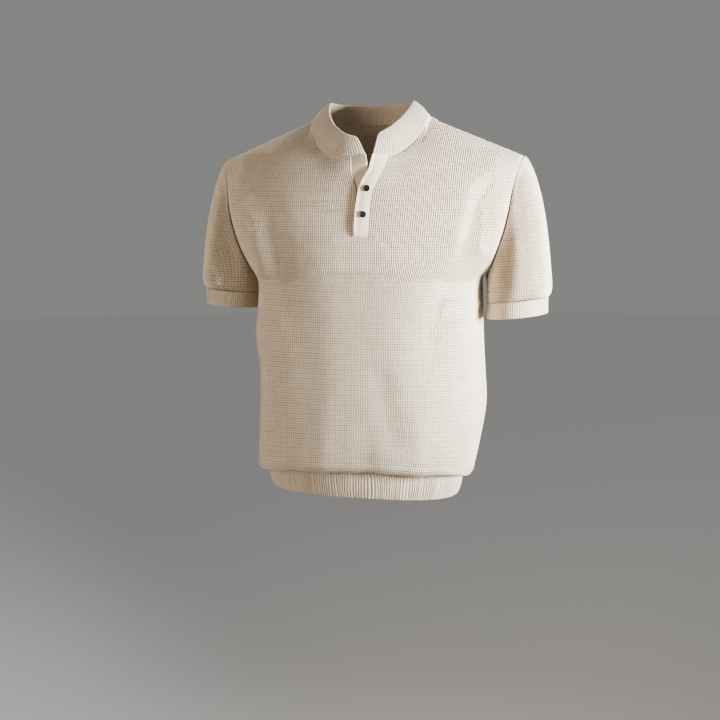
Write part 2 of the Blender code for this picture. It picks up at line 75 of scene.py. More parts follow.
# --- floor and light ------------------------------------------------------------------------------
# A plain pale floor well below the hem, where the wearer would stand. A key lights from the
# wearer's left, with a weak warm fill from the other side, a light from behind and a grey surround.

FLOOR_Z = -1.45
FLOOR_COLOUR = (0.94, 0.935, 0.925)
SURROUND_COLOUR = (0.60, 0.597, 0.59)
SURROUND_STRENGTH = 0.40
LIGHT_COLUMNS = ("place", "aim", "size", "power", "spread", "colour")
LIGHTS = {
    "key": ((1.46, -0.44, -0.20), (0.0, 0.0, -0.20), 0.55, 29.0, 62, (0.94, 0.97, 1.0)),
    "fill": ((-1.5, -2.1, 0.2), (0.0, 0.0, -0.3), 1.6, 9.0, 70, (1.0, 0.86, 0.70)),
    "back": ((-0.6, 2.2, 1.0), (0.0, 0.0, -0.2), 1.4, 12.0, 60, (1.0, 0.97, 0.93)),
}

bpy.ops.object.select_all(action="DESELECT")
bpy.ops.mesh.primitive_circle_add(
    vertices=96, radius=14.0, fill_type="NGON", location=(0.0, 0.0, FLOOR_Z)
)
floor = bpy.context.object
floor.name = "floor"
floor_look = bpy.data.materials.new("pale_floor")
floor_look.use_nodes = True
floor_shader = floor_look.node_tree.nodes["Principled BSDF"]
floor_shader.inputs["Base Color"].default_value = (*FLOOR_COLOUR, 1.0)
floor_shader.inputs["Roughness"].default_value = 0.9
floor.data.materials.append(floor_look)

for light_name, light_values in LIGHTS.items():
    light = dict(zip(LIGHT_COLUMNS, light_values))
    lamp_data = bpy.data.lights.new(light_name, "AREA")
    lamp_data.shape = "DISK"
    lamp_data.size = light["size"]
    lamp_data.energy = light["power"]
    lamp_data.spread = math.radians(light["spread"])
    lamp_data.color = light["colour"]
    lamp = bpy.data.objects.new(light_name, lamp_data)
    lamp.location = light["place"]
    aim = Vector(light["aim"]) - Vector(light["place"])
    lamp.rotation_euler = aim.to_track_quat("-Z", "Y").to_euler()
    bpy.context.scene.collection.objects.link(lamp)

world = bpy.data.worlds.new("surround")
world.use_nodes = True
world.node_tree.nodes["Background"].inputs["Color"].default_value = (*SURROUND_COLOUR, 1.0)
world.node_tree.nodes["Background"].inputs["Strength"].default_value = SURROUND_STRENGTH
bpy.context.scene.world = world

# --- front and back panels ------------------------------------------------------------------------
# Two straight panels in a tuck knit, as wide at the shoulder as at the side, which hang from the
# shoulder seams and blouse over the waistband. Each wale is one ridge from hem to shoulder; every
# second course is tucked, which leaves a row of small pits. The front is slit for the placket.

WALL = 0.0022
SHOULDER_HALF = 0.2500
SHOULDER_SLOPE = 0.42
NECK_HALF = 0.0960
NECK_SIDE_Z = -0.0060
NECK_SIDE_Y = 0.0050
FRONT_NECK = {"y": -0.0950, "z": -0.0710, "power": 6.0}
BACK_NECK = {"y": 0.0800, "z": -0.0130, "power": 12.0}
LEVEL_COLUMNS = (
    "side_z", "mid_z", "right_x", "left_x", "front_y", "back_y", "edge_y", "squareness"
)
LEVELS = {
    "seam": (-0.5740, -0.5540, 0.1760, 0.1520, -0.1110, 0.0920, 0.0, 2.4),
    "under": (-0.5860, -0.5620, 0.1775, 0.1545, -0.1150, 0.0970, 0.0, 2.4),
    "lip": (-0.5910, -0.5670, 0.1830, 0.1600, -0.1225, 0.1045, 0.0, 2.5),
    "turn": (-0.5860, -0.5620, 0.1885, 0.1665, -0.1300, 0.1110, 0.0, 2.6),
    "low": (-0.5700, -0.5450, 0.1885, 0.1710, -0.1335, 0.1140, 0.0, 2.7),
    "hip": (-0.5300, -0.5150, 0.1860, 0.1790, -0.1340, 0.1155, 0.0, 2.8),
    "waist": (-0.4720, -0.4660, 0.1830, 0.1880, -0.1330, 0.1155, 0.0, 2.9),
    "rib": (-0.4120, -0.4100, 0.1830, 0.1855, -0.1310, 0.1155, 0.0, 2.9),
    "bulge": (-0.3500, -0.3500, 0.1895, 0.1825, -0.1300, 0.1165, 0.0, 2.9),
    "cuff": (-0.3120, -0.3150, 0.1850, 0.1820, -0.1295, 0.1175, 0.0, 2.9),
    "underarm": (-0.2600, -0.2680, 0.1850, 0.1850, -0.1290, 0.1180, 0.0, 2.9),
    "gusset": (-0.2560, -0.2600, 0.1890, 0.1890, -0.1290, 0.1180, 0.0120, 2.85),
    "pit": (-0.2460, -0.2500, 0.1965, 0.1965, -0.1290, 0.1180, 0.0260, 2.7),
    "breast": (-0.2260, -0.2260, 0.2060, 0.2060, -0.1285, 0.1180, 0.0430, 2.5),
    "slit": (-0.1970, -0.1970, 0.2170, 0.2180, -0.1265, 0.1175, 0.0500, 2.3),
    "chest": (-0.1500, -0.1550, 0.2290, 0.2295, -0.1215, 0.1150, 0.0500, 2.2),
}
UNDERARM = list(LEVELS).index("underarm")
CHEST = list(LEVELS).index("chest")
SLIT = list(LEVELS).index("slit")
YOKE_STEPS = (0.16, 0.32, 0.47, 0.61, 0.75, 0.88, 1.0)
YOKE_PULL = {"back": 0.22, "front_middle": 0.55, "back_middle": 0.72, "shoulder": 0.86}
SLIT_COLUMNS = ("z", "panel_x", "under_x", "over_x")
SLIT_EDGES = (
    (-0.1970, -0.0035, 0.0180, -0.0030),
    (-0.1500, -0.0015, 0.0180, -0.0005),
    (-0.1250, -0.0010, 0.0175, 0.0025),
    (-0.1100, -0.0060, 0.0170, 0.0080),
    (-0.0950, -0.0110, 0.0150, 0.0165),
    (-0.0710, -0.0130, 0.0100, 0.0205),
)
SLIT_Z = SLIT_EDGES[0][0]
SLIT_EASE = 0.6  # share of the panel's half over which the wales give way to the open slit
PLACKET_LAP = 0.0080
FOLD_COLUMNS = ("x_top", "z_top", "x_low", "z_low", "half_width", "depth")
# Soft folds, from their upper to their lower end; one of negative depth is a ridge.
FRONT_FOLDS = (
    (0.1940, -0.1150, 0.1680, -0.2500, 0.0170, 0.0085),
    (0.2220, -0.1200, 0.1980, -0.2450, 0.0110, -0.0050),
    (-0.1840, -0.1350, -0.1560, -0.2700, 0.0150, -0.0034),
    (-0.1400, -0.1500, -0.1120, -0.3400, 0.0200, 0.0060),
    (-0.1000, -0.2000, -0.0760, -0.5200, 0.0360, 0.0046),
    (0.1100, -0.3300, 0.1500, -0.5000, 0.0380, 0.0032),
    (-0.1460, -0.4000, -0.1340, -0.5300, 0.0130, 0.0032),
    (0.0350, -0.3900, 0.0600, -0.5300, 0.0200, 0.0024),
    (0.1560, -0.2300, 0.1120, -0.3600, 0.0180, 0.0030),
    (-0.0500, -0.4500, -0.0560, -0.6050, 0.0180, -0.0018),
    (0.1000, -0.4700, 0.0940, -0.6050, 0.0170, -0.0020),
    (0.0200, -0.4850, 0.0180, -0.6050, 0.0170, 0.0016),
    (-0.1050, -0.4600, -0.1080, -0.6000, 0.0150, 0.0018),
)
BACK_FOLDS = (
    (0.2000, -0.1400, 0.1800, -0.2700, 0.0220, 0.0060),
    (-0.2000, -0.1350, -0.1800, -0.2500, 0.0220, 0.0055),
    (0.0400, -0.2600, 0.0700, -0.5300, 0.0420, 0.0050),
    (-0.1000, -0.2400, -0.0500, -0.4200, 0.0300, 0.0036),
    (0.1400, -0.2500, 0.1050, -0.3900, 0.0170, 0.0030),
    (-0.1500, -0.3600, -0.1250, -0.5200, 0.0200, 0.0034),
    (0.1300, -0.4400, 0.1250, -0.5900, 0.0160, 0.0024),
    (-0.0300, -0.4600, -0.0340, -0.6000, 0.0170, -0.0020),
    (0.0600, -0.4700, 0.0620, -0.6000, 0.0160, 0.0020),
    (-0.0900, -0.4800, -0.0940, -0.5950, 0.0150, 0.0018),
)
NECK_SOFTNESS = 30.0  # half wales over which the neck's corner fades in the row furthest from it
PANEL_WALES = 73  # from the middle to the side
TUCK_PITCH = 0.0082  # one repeat of the knit: four courses, every second with a row of pits
# Relief of a stitch, at its ridge and in the valley beside it, over the four
# courses of a repeat.
RIDGE_RELIEF = (-0.00032, 0.00064, -0.00024, 0.00064)
VALLEY_RELIEF = (-0.00165, -0.00072, -0.00155, -0.00072)
SEAM_DIP = 0.0016  # how deep a panel's edge is drawn in where it is sewn
SEAM_REACH = 2.2  # half wales, or rows, over which it is
SEAM_NOTCH = 0.9  # how much deeper, as a share, at the shoulder's end of the armhole
NOTCH_ROWS = 14.0  # rows over which it is
NECK_SPARE = 3  # half wales past the neckline that stay level too
UNSEWN = 99  # rows from a seam, for cloth that no seam draws in
FOLD_EDGE = 7.0  # half wales at a panel's sides over which its folds fade
FLAT_ROWS = 4.0  # rows at the end of a wale over which its stitches flatten
FLAT_LEAST = 0.25  # share of their height that is left in the seam
INNER_STEP = 4  # stitch rows and columns of the outside to one of the plain inside


def unit(vectors):
    return vectors / np.linalg.norm(vectors, axis=-1, keepdims=True)


def spread(curve, shares):
    """Points at these shares of the curve's length."""
    steps = np.linalg.norm(np.diff(curve, axis=0), axis=1)
    along = np.concatenate(([0.0], np.cumsum(steps)))
    return np.stack([np.interp(np.asarray(shares) * along[-1], along, c) for c in curve.T], axis=1)


def bezier(start, pull, end, share):
    return (1 - share) ** 2 * start + 2 * share * (1 - share) * pull + share**2 * end


def normals(grid, closed=False):
    if closed:
        across = np.roll(grid, -1, axis=1) - np.roll(grid, 1, axis=1)
    else:
        across = np.gradient(grid, axis=1)
    return unit(np.cross(across, np.gradient(grid, axis=0)))


def half_section(half_x, depth, edge_y, power, shares):
    stop = (abs(edge_y) / depth) ** (power / 2)
    full_x = half_x / (1.0 - stop**2) ** (1.0 / power)
    angles = np.linspace(0.0, math.acos(stop), 400)
    x = full_x * np.sin(angles) ** (2 / power)
    y = depth * np.clip(np.cos(angles), 0.0, 1.0) ** (2 / power)
    return spread(np.stack((x, y), axis=1), shares)


def level_row(level, facing, shares):
    depth = abs(level["front_y"] if facing < 0 else level["back_y"])
    halves = []
    for side, half_x in ((-1.0, level["right_x"]), (1.0, level["left_x"])):
        flat = half_section(half_x, depth, level["edge_y"], level["squareness"], shares)
        z = level["mid_z"] + (level["side_z"] - level["mid_z"]) * shares**2
        halves.append(np.stack((side * flat[:, 0], facing * flat[:, 1], z), axis=1))
    return np.concatenate((halves[0][:0:-1], halves[1]))


def top_row(facing, shares):
    neck = FRONT_NECK if facing < 0 else BACK_NECK
    x = shares * SHOULDER_HALF
    inside = np.clip(x / NECK_HALF, 0.0, 1.0)
    scoop = 1.0 - inside ** neck["power"]
    bow = np.sqrt(1.0 - inside**2)
    z = NECK_SIDE_Z + (neck["z"] - NECK_SIDE_Z) * scoop
    z -= SHOULDER_SLOPE * np.clip(x - NECK_HALF, 0.0, None)
    y = NECK_SIDE_Y + (neck["y"] - NECK_SIDE_Y) * bow
    half = np.stack((x, y, z), axis=1)
    return np.concatenate((half[:0:-1] * (-1.0, 1.0, 1.0), half))


def panel_control(facing):
    """Rows of a panel from the waist seam to neckline and shoulder, with a column for every half
    wale from the wearer's right side to the left."""
    shares = np.arange(2 * PANEL_WALES + 1) / (2 * PANEL_WALES)
    levels = [dict(zip(LEVEL_COLUMNS, values)) for values in LEVELS.values()]
    rows = [level_row(level, facing, shares) for level in levels]
    chest, top = rows[-1], top_row(facing, shares)
    middle = YOKE_PULL["front_middle" if facing < 0 else "back_middle"]
    lift = np.interp(shares, (0.0, 1.0), (middle, YOKE_PULL["shoulder"]))
    lift = np.concatenate((lift[:0:-1], lift))
    for share in YOKE_STEPS:
        end = softened(top, share)
        pull = (chest + end) / 2
        pull[:, 1] = chest[:, 1] + YOKE_PULL["back"] * (end[:, 1] - chest[:, 1])
        pull[:, 2] = chest[:, 2] + lift * (end[:, 2] - chest[:, 2])
        rows.append(bezier(chest, pull, end, share))
    return np.array(rows)


def softened(top, share):
    """The top edge as a row below it feels it: its corners at the neck fade with the distance."""
    count, reach = len(top), NECK_SOFTNESS * math.sqrt(1.0 - share)
    if reach < 0.5:
        return top
    away = np.arange(count)[:, None] - np.arange(count)[None, :]
    weight = np.exp(-0.5 * (away / reach) ** 2)
    smooth = weight @ top / weight.sum(axis=1, keepdims=True)
    from_edge = np.minimum(np.arange(count), np.arange(count)[::-1])
    kept = np.exp(-((from_edge / (1.6 * reach)) ** 2))[:, None]
    return smooth * (1 - kept) + top * kept


def along_rows(control, at):
    """Smooth points between the rows of a grid, at these fractional row numbers."""
    gaps = np.linalg.norm(np.diff(control, axis=0), axis=2).mean(axis=1)
    places = np.concatenate(([0.0], np.cumsum(gaps)))
    slope = np.gradient(control, places, axis=0)
    low = np.clip(np.floor(at).astype(int), 0, len(control) - 2)
    column = np.broadcast_to(np.arange(control.shape[1]), low.shape)
    f = (at - low)[..., None]
    gap = gaps[low][..., None]
    return (
        (1 + 2 * f) * (1 - f) ** 2 * control[low, column]
        + f * (1 - f) ** 2 * gap * slope[low, column]
        + f**2 * (3 - 2 * f) * control[low + 1, column]
        + f**2 * (f - 1) * gap * slope[low + 1, column]
    )


def stitch_rows(control, level_until):
    """Where each row of stitches lies: courses run level up to `level_until`, and past it they
    are counted along each wale. Gives fractional row numbers, lengths of cloth and last rows."""
    cloth = np.linalg.norm(np.diff(control, axis=0), axis=2)
    cloth = np.concatenate((np.zeros((1, control.shape[1])), np.cumsum(cloth, axis=0)))
    length = cloth.copy()
    length[: level_until + 1] = cloth[: level_until + 1].mean(axis=1, keepdims=True)
    length[level_until:] = length[level_until] + cloth[level_until:] - cloth[level_until]
    pitch = TUCK_PITCH / 4
    last = np.ceil(length[-1] / pitch - 1e-6).astype(int)
    wanted = pitch * np.arange(last.max() + 1)[:, None]
    wanted = np.minimum(wanted, length[-1][None, :])
    rows = np.arange(len(control))
    at = np.stack([np.interp(w, l, rows) for w, l in zip(wanted.T, length.T)], axis=1)
    return at, wanted, last


def pressed(points, outs, folds):
    """Presses soft folds into a panel, fading out at their ends and at the panel's edges."""
    points = points.copy()
    for values in folds:
        fold = dict(zip(FOLD_COLUMNS, values))
        down = (fold["z_top"] - points[..., 2]) / (fold["z_top"] - fold["z_low"])
        line = fold["x_top"] + (fold["x_low"] - fold["x_top"]) * down
        across = (points[..., 0] - line) / fold["half_width"]
        depth = fold["depth"] * np.exp(-(across**2)) * np.exp(-((2 * down - 1) ** 4))
        edge = np.minimum(np.arange(points.shape[1]), np.arange(points.shape[1])[::-1])
        depth *= np.clip(edge / FOLD_EDGE, 0.0, 1.0)[None, :]
        points -= outs * depth[..., None]
    return points


def drawn_in(points, outs, last, sides):
    """Draws the cloth in at its sewn edges, which leaves a groove along every seam."""
    row, column = np.indices(points.shape[:2])
    to_top = np.clip(last[None, :] - row, 0, None)
    near = to_top
    if sides:  # a panel; its neckline stays level, under the collar
        middle = points.shape[1] // 2
        neck = np.abs(column - middle) < NECK_HALF / SHOULDER_HALF * middle + NECK_SPARE
        near = np.where(neck, UNSEWN, near)
        near = np.minimum(near, np.minimum(column, points.shape[1] - 1 - column))
    dip = SEAM_DIP * (1 + SEAM_NOTCH * np.exp(-((to_top / NOTCH_ROWS) ** 2)) * sides)
    return points - outs * (dip * np.exp(-((near / SEAM_REACH) ** 2)))[..., None]


def stitched(points, outs, last):
    """Raises the stitches: a ridge down each wale, and two rows of pits to a repeat. They flatten
    out at the end of each wale, in the seam."""
    row, column = np.indices(points.shape[:2])
    ridge, valley = np.array(RIDGE_RELIEF), np.array(VALLEY_RELIEF)
    height = np.where(column % 2 == 1, ridge[row % 4], valley[row % 4])
    height *= np.clip((last[None, :] - row) / FLAT_ROWS, FLAT_LEAST, 1.0)
    return points + outs * height[..., None]


def stitch_faces(number):
    """Faces between the rows and columns of stitches, as places in the grid. Where two places are
    one point, at the end of a wale, the face has three corners or is left out."""
    place = np.arange(number.size).reshape(number.shape)
    a, b, c, d = place[:-1, :-1], place[:-1, 1:], place[1:, 1:], place[1:, :-1]
    left = number[:-1, :-1] == number[1:, :-1]
    right = number[:-1, 1:] == number[1:, 1:]
    corners = np.stack((a, b, c, d), axis=-1)
    whole = ~left & ~right
    return corners, whole, left & ~right, right & ~left


def shell(name, skin, inside, stitch, last, columns, gone, closed, look):
    """A knitted wall: a skin of stitches, a plain inside with a few of its rows and columns, and
    rims between them. `stitch` holds each point's wale and tuck numbers, for the finish."""
    rows, across = skin.shape[:2]
    number = np.minimum(np.arange(rows)[:, None], last[None, :]) * across + np.arange(across)
    if closed:
        number = np.concatenate((number, number[:, :1]), axis=1)
        after = stitch[:, :1] + (columns[-1] / 2, 0.0)
        stitch = np.concatenate((stitch, after), axis=1)
    width = number.shape[1]
    levels = [*range(0, rows - 1, INNER_STEP), rows - 1]
    cell_row = np.searchsorted(levels, np.arange(rows - 1), side="right") - 1
    cell_column = np.searchsorted(columns, np.arange(width - 1), side="right") - 1
    cut = np.zeros((len(levels), len(columns)), bool)
    for i, j in gone:
        cut[i, j] = True
    kept = ~cut[cell_row[:, None], cell_column[None, :]]

    faces, places = [], []

    def add(corners, inner=False):
        ids = number.ravel()[corners] + (rows * across if inner else 0)
        faces.extend((ids[:, ::-1] if inner else ids).tolist())
        places.extend((corners[:, ::-1] if inner else corners).tolist())

    corners, whole, only_right, only_left = stitch_faces(number)
    add(corners[whole & kept])
    add(corners[only_right & kept][:, [0, 1, 2]])
    add(corners[only_left & kept][:, [0, 1, 3]])
    coarse = np.ix_(levels, columns)
    place = np.arange(number.size).reshape(number.shape)[coarse]
    corners, whole, only_right, only_left = stitch_faces(number[coarse])
    corners = place.ravel()[corners]
    kept = ~cut[: len(levels) - 1, : len(columns) - 1]
    add(corners[whole & kept], inner=True)
    add(corners[only_right & kept][:, [0, 1, 2]], inner=True)
    add(corners[only_left & kept][:, [0, 1, 3]], inner=True)

    def rim(outer, inner):
        """A rim's face, from places along the skin and back along the inside."""
        ids = [int(number.ravel()[p]) for p in outer]
        ids += [int(number.ravel()[p]) + rows * across for p in inner]
        at = [*outer, *inner]
        kept_at = [k for k in range(len(ids)) if ids[k] != ids[k - 1]]
        if len({ids[k] for k in kept_at}) >= 3:
            faces.append([ids[k] for k in kept_at])
            places.append([at[k] for k in kept_at])

    there = {(i, j) for i in range(len(levels) - 1) for j in range(len(columns) - 1)} - set(gone)
    for i, j in sorted(there):
        r0, r1, c0, c1 = levels[i], levels[i + 1], columns[j], columns[j + 1]
        if (i - 1, j) not in there:
            line = [r0 * width + c for c in range(c1, c0 - 1, -1)]
            rim(line, [line[-1], line[0]])
        if (i + 1, j) not in there:
            line = [r1 * width + c for c in range(c0, c1 + 1)]
            rim(line, [line[-1], line[0]])
        left = (i, (j - 1) % (len(columns) - 1)) if closed else (i, j - 1)
        right = (i, (j + 1) % (len(columns) - 1)) if closed else (i, j + 1)
        if left not in there:
            line = [r * width + c0 for r in range(r0, r1 + 1)]
            rim(line, [line[-1], line[0]])
        if right not in there:
            line = [r * width + c1 for r in range(r1, r0 - 1, -1)]
            rim(line, [line[-1], line[0]])

    points = np.concatenate((skin.reshape(-1, 3), inside.reshape(-1, 3)))
    return mesh_piece(name, points, faces, stitch.reshape(-1, 2), places, look)


def mesh_piece(name, points, faces, stitch, places, look):
    """A mesh of these faces alone, with a UV map that counts stitches."""
    flat = np.concatenate([np.asarray(f) for f in faces])
    used, flat = np.unique(flat, return_inverse=True)
    mesh = bpy.data.meshes.new(name)
    sizes = [len(f) for f in faces]
    starts = np.concatenate(([0], np.cumsum(sizes)[:-1]))
    polygons = [flat[first : first + size].tolist() for first, size in zip(starts, sizes)]
    mesh.from_pydata(points[used].tolist(), [], polygons)
    layer = mesh.uv_layers.new(name="stitches")
    counted = stitch[np.concatenate([np.asarray(p) for p in places])]
    layer.uv.foreach_set("vector", counted.astype(np.float32).ravel())
    mesh.materials.append(look)
    made = bpy.data.objects.new(name, mesh)
    bpy.context.scene.collection.objects.link(made)
    bpy.ops.object.select_all(action="DESELECT")
    made.select_set(True)
    bpy.context.view_layer.objects.active = made
    bpy.ops.object.mode_set(mode="EDIT")
    bpy.ops.mesh.select_all(action="SELECT")
    bpy.ops.mesh.normals_make_consistent(inside=False)
    bpy.ops.object.mode_set(mode="OBJECT")
    bpy.ops.object.shade_smooth_by_angle(angle=math.radians(70))
    return made


class Signal:
    """A socket in a finish's nodes. Sums on it add Math nodes."""

    def __init__(self, tree, socket=None):
        self.tree, self.socket = tree, socket

    def node(self, kind, settings=None, sockets=None, out=0):
        """Any other node: its settings are set first, then the values or links of its sockets."""
        made = self.tree.nodes.new("ShaderNode" + kind)
        for key, value in (settings or {}).items():
            if key == "stops":
                ramp = made.color_ramp
                for k, (place, colour) in enumerate(value):
                    stop = ramp.elements[k] if k < 2 else ramp.elements.new(place)
                    stop.position, stop.color = place, (*colour, 1.0)
            else:
                setattr(made, key, value)
        for key, value in (sockets or {}).items():
            if isinstance(value, Signal):
                self.tree.links.new(value.socket, made.inputs[key])
            else:
                made.inputs[key].default_value = value
        return Signal(self.tree, made.outputs[out])

    def maths(self, operation, *values):
        return self.node("Math", {"operation": operation}, dict(enumerate(values)))

    def __add__(self, other):
        return self.maths("ADD", self, other)

    __radd__ = __add__

    def __sub__(self, other):
        return self.maths("SUBTRACT", self, other)

    def __rsub__(self, other):
        return self.maths("SUBTRACT", other, self)

    def __mul__(self, other):
        return self.maths("MULTIPLY", self, other)

    __rmul__ = __mul__

    def __truediv__(self, other):
        return self.maths("DIVIDE", self, other)

    def __abs__(self):
        return self.maths("ABSOLUTE", self)

    def part(self):
        """What is left over whole numbers."""
        return self.maths("FRACT", self)

    def bounded(self):
        """Held between 0 and 1."""
        return self.node("Clamp", None, {"Value": self})

    def mixed(self, low, high):
        """A colour from low at 0 to high at 1."""
        low, high = (c if isinstance(c, Signal) else (*c, 1.0) for c in (low, high))
        return self.node("Mix", {"data_type": "RGBA"}, {"Factor": self, 6: low, 7: high}, out=2)


OAT_SHADE = (0.36, 0.255, 0.155)
OAT = (0.69, 0.56, 0.40)
OAT_LIGHT = (0.88, 0.78, 0.62)
# painted shade: SHADOW_BROWN is what the knits darken towards in pits, valleys and between the
# stitch legs, where shadow falls
SHADOW_BROWN = (0.09, 0.05, 0.022)  # yarn deep between the stitches


def yarn_colour(start):
    """Heather: light and dark fibres carded together, in flecks of about a millimetre."""
    at = start.node("TexCoord", out=3)
    fleck = start.node("TexNoise", None, {"Vector": at, "Scale": 1100.0, "Detail": 3.0})
    cloud = start.node("TexNoise", None, {"Vector": at, "Scale": 60.0, "Detail": 4.0})
    tone = (fleck - 0.5) * 1.8 + (cloud - 0.5) * 0.45 + 0.55
    stops = ((0.0, OAT_SHADE), (1.0, OAT_LIGHT), (0.50, OAT))
    return start.node("ValToRGB", {"stops": stops}, {"Fac": tone.bounded()})


def wool_finish(name, colour_and_height, bump_mm):
    """A matt, slightly hairy knit from a function that gives its colour and height."""
    made = bpy.data.materials.new(name)
    made.use_nodes = True
    tree = made.node_tree
    shader = tree.nodes["Principled BSDF"]
    shader.inputs["Roughness"].default_value = 0.92
    shader.inputs["Specular IOR Level"].default_value = 0.22
    shader.inputs["Sheen Weight"].default_value = 0.25
    shader.inputs["Sheen Roughness"].default_value = 0.55
    start = Signal(tree)
    colour, height = colour_and_height(start)
    bump = start.node(
        "Bump", None, {"Height": height, "Distance": bump_mm / 1000.0, "Strength": 1.0}
    )
    tree.links.new(colour.socket, shader.inputs["Base Color"])
    tree.links.new(bump.socket, shader.inputs["Normal"])
    return made


def stitch_place(start):
    """Wale and tuck numbers of the stitch map."""
    at = start.node("UVMap", {"uv_map": "stitches"})
    return tuple(start.node("SeparateXYZ", None, {0: at}, out=k) for k in (0, 1))


def fibre_fuzz(start):
    """Hairs finer than a stitch."""
    return start.node("TexNoise", None, {"Vector": start.node("TexCoord", out=3), "Scale": 2600.0})


def tuck_knit(start):
    """Two V stitches of two legs to a repeat, with pits between the wales at its start and fainter
    ones halfway up. Painted shade darkens the pits, the valleys, the courses and the yarn beside
    the legs."""
    wale, tuck = stitch_place(start)
    side = abs(wale.part() - 0.5)
    climb = (tuck * 2.0).part()
    leg = (1.0 - abs(side - 0.10 - climb * 0.22) / 0.19).bounded()
    from_tuck = abs((tuck + 0.5).part() - 0.5)
    tuck_line = (1.0 - from_tuck / 0.16).bounded()
    valley = (1.0 - (0.5 - side) / 0.30).bounded()
    pit = tuck_line * valley
    fibres = fibre_fuzz(start)
    middle_line = (1.0 - abs(from_tuck - 0.5) / 0.15).bounded()
    between = middle_line * valley
    height = leg * 0.55 - pit * 0.9 - between * 0.5 + fibres * 0.35
    # painted shade: darker along the tucked courses and the courses halfway between, in the pits,
    # in the valleys between wales and beside the legs
    rows = tuck_line * 0.26 + middle_line * 0.20 + pit * 0.66 + between * 0.50
    shade = (rows + valley * 0.26 + (1.0 - leg) * 0.12).bounded()
    return shade.mixed(yarn_colour(start), SHADOW_BROWN), height


knit = wool_finish("oatmeal_tuck_knit", tuck_knit, 0.55)

slit_table = np.array(SLIT_EDGES)


def slit_edge(column, z):
    return np.interp(z, slit_table[:, 0], slit_table[:, SLIT_COLUMNS.index(column)])


def on_row(row, x):
    """The points of a row at these x."""
    return np.stack([np.interp(x, row[:, 0], values) for values in row.T], axis=-1)


def opened(control):
    """The front's rows with the wales beside the slit drawn aside, more so towards the neck."""
    control = control.copy()
    shares = np.abs(np.arange(control.shape[1]) - middle_column) / middle_column
    easing = np.cos(np.clip(shares / SLIT_EASE, 0.0, 1.0) * math.pi / 2) ** 2
    for row in control[SLIT:]:
        z = row[middle_column, 2]
        right = slit_edge("panel_x", z) - row[slit_right, 0]
        left = slit_edge("over_x", z) + PLACKET_LAP - row[slit_left, 0]
        shift = np.where(np.arange(len(row)) <= middle_column, right, left)
        row[:] = on_row(row.copy(), row[:, 0] + shift * easing)
    return control


def panel(control, facing, folds):
    """A panel's smooth points, its outward normals, its stitch numbers and each wale's last row."""
    at, cloth, last = stitch_rows(control, CHEST)
    outs = unit(along_rows(-facing * normals(control), at))
    points = drawn_in(pressed(along_rows(control, at), outs, folds), outs, last, True)
    wale = np.broadcast_to(np.arange(points.shape[1]) / 2, at.shape)
    stitch = np.stack((wale, cloth / TUCK_PITCH), axis=-1)
    return points, outs, stitch, last


middle_column = 2 * PANEL_WALES
slit_right, slit_left = middle_column - 2, middle_column + 3
whole_control = panel_control(-1.0)
front_control = opened(whole_control)
front_points, front_outs, front_stitch, front_last = panel(front_control, -1.0, FRONT_FOLDS)
whole_front, whole_outs, _, whole_last = panel(whole_control, -1.0, FRONT_FOLDS)
slit_row = INNER_STEP * int(np.argmin(np.abs(whole_front[::INNER_STEP, middle_column, 2] - SLIT_Z)))
front_columns = sorted(
    {*range(slit_right, -1, -INNER_STEP), 0}
    | {*range(slit_left, 2 * middle_column + 1, INNER_STEP), 2 * middle_column}
)
slit_cell = front_columns.index(slit_right)
slit_gone = [
    (i, slit_cell)
    for i in range(slit_row // INNER_STEP, len(front_points) // INNER_STEP + 1)
]
front = shell(
    "front_panel",
    stitched(front_points, front_outs, front_last),
    front_points - WALL * front_outs,
    front_stitch,
    front_last,
    front_columns,
    slit_gone,
    False,
    knit,
)
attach(front, "root")
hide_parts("front")

back_control = panel_control(1.0)
back_points, back_outs, back_stitch, back_last = panel(back_control, 1.0, BACK_FOLDS)
back = shell(
    "back_panel",
    stitched(back_points, back_outs, back_last),
    back_points - WALL * back_outs,
    back_stitch,
    back_last,
    list(range(0, 2 * middle_column + 1, INNER_STEP)),
    [],
    False,
    knit,
)
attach(back, "root")
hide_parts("back")

# --- sleeves --------------------------------------------------------------------------------------
# Short straight sleeves of the same knit, sewn into the armholes with no fullness. Their courses
# run level with the cuff, and they blouse a little where the cuff gathers them.

SLEEVE_COLUMNS = ("side", "cuff_x", "cuff_z", "cuff_half_x")
SLEEVES = {"left": (1.0, 0.2390, -0.3245, 0.0485), "right": (-1.0, 0.2370, -0.3100, 0.0455)}
CUFF_HALF_Y = 0.0625
CUFF_HEIGHT = 0.0260
CUFF_TILT = 0.10
SLEEVE_PULL = np.array((0.80, 0.70, 0.25))
SLEEVE_STEPS = (0.13, 0.25, 0.37, 0.49, 0.61, 0.74, 0.87, 1.0)
SLEEVE_SWELL = 0.0055
SLEEVE_TURN = ((0.0130, 1.0), (0.0045, 0.68), (0.0, 0.10))
SLEEVE_WALES = 128
SLEEVE_FOLD_EDGE = 16.0  # rows below the armhole over which the folds fade
# Soft folds of a sleeve: where they run, as a share of the way round from the underarm up the
# front and down the back, at the armhole and at the cuff; half-width as such a share; depth; and
# their upper and lower end as shares of the way up from the cuff.
SLEEVE_FOLD_COLUMNS = ("round_top", "round_low", "half_width", "depth", "high", "low")
SLEEVE_FOLDS = {
    "left": (
        (0.20, 0.17, 0.075, 0.0060, 0.90, 0.05),
        (0.40, 0.36, 0.030, 0.0022, 0.70, 0.10),
        (0.58, 0.63, 0.026, 0.0024, 0.80, 0.25),
        (0.74, 0.80, 0.040, 0.0050, 0.90, 0.20),
    ),
    "right": (
        (0.22, 0.18, 0.060, 0.0050, 0.95, 0.10),
        (0.36, 0.40, 0.028, 0.0024, 0.65, 0.05),
        (0.56, 0.52, 0.024, 0.0022, 0.75, 0.20),
        (0.75, 0.79, 0.040, 0.0045, 0.90, 0.20),
    ),
}


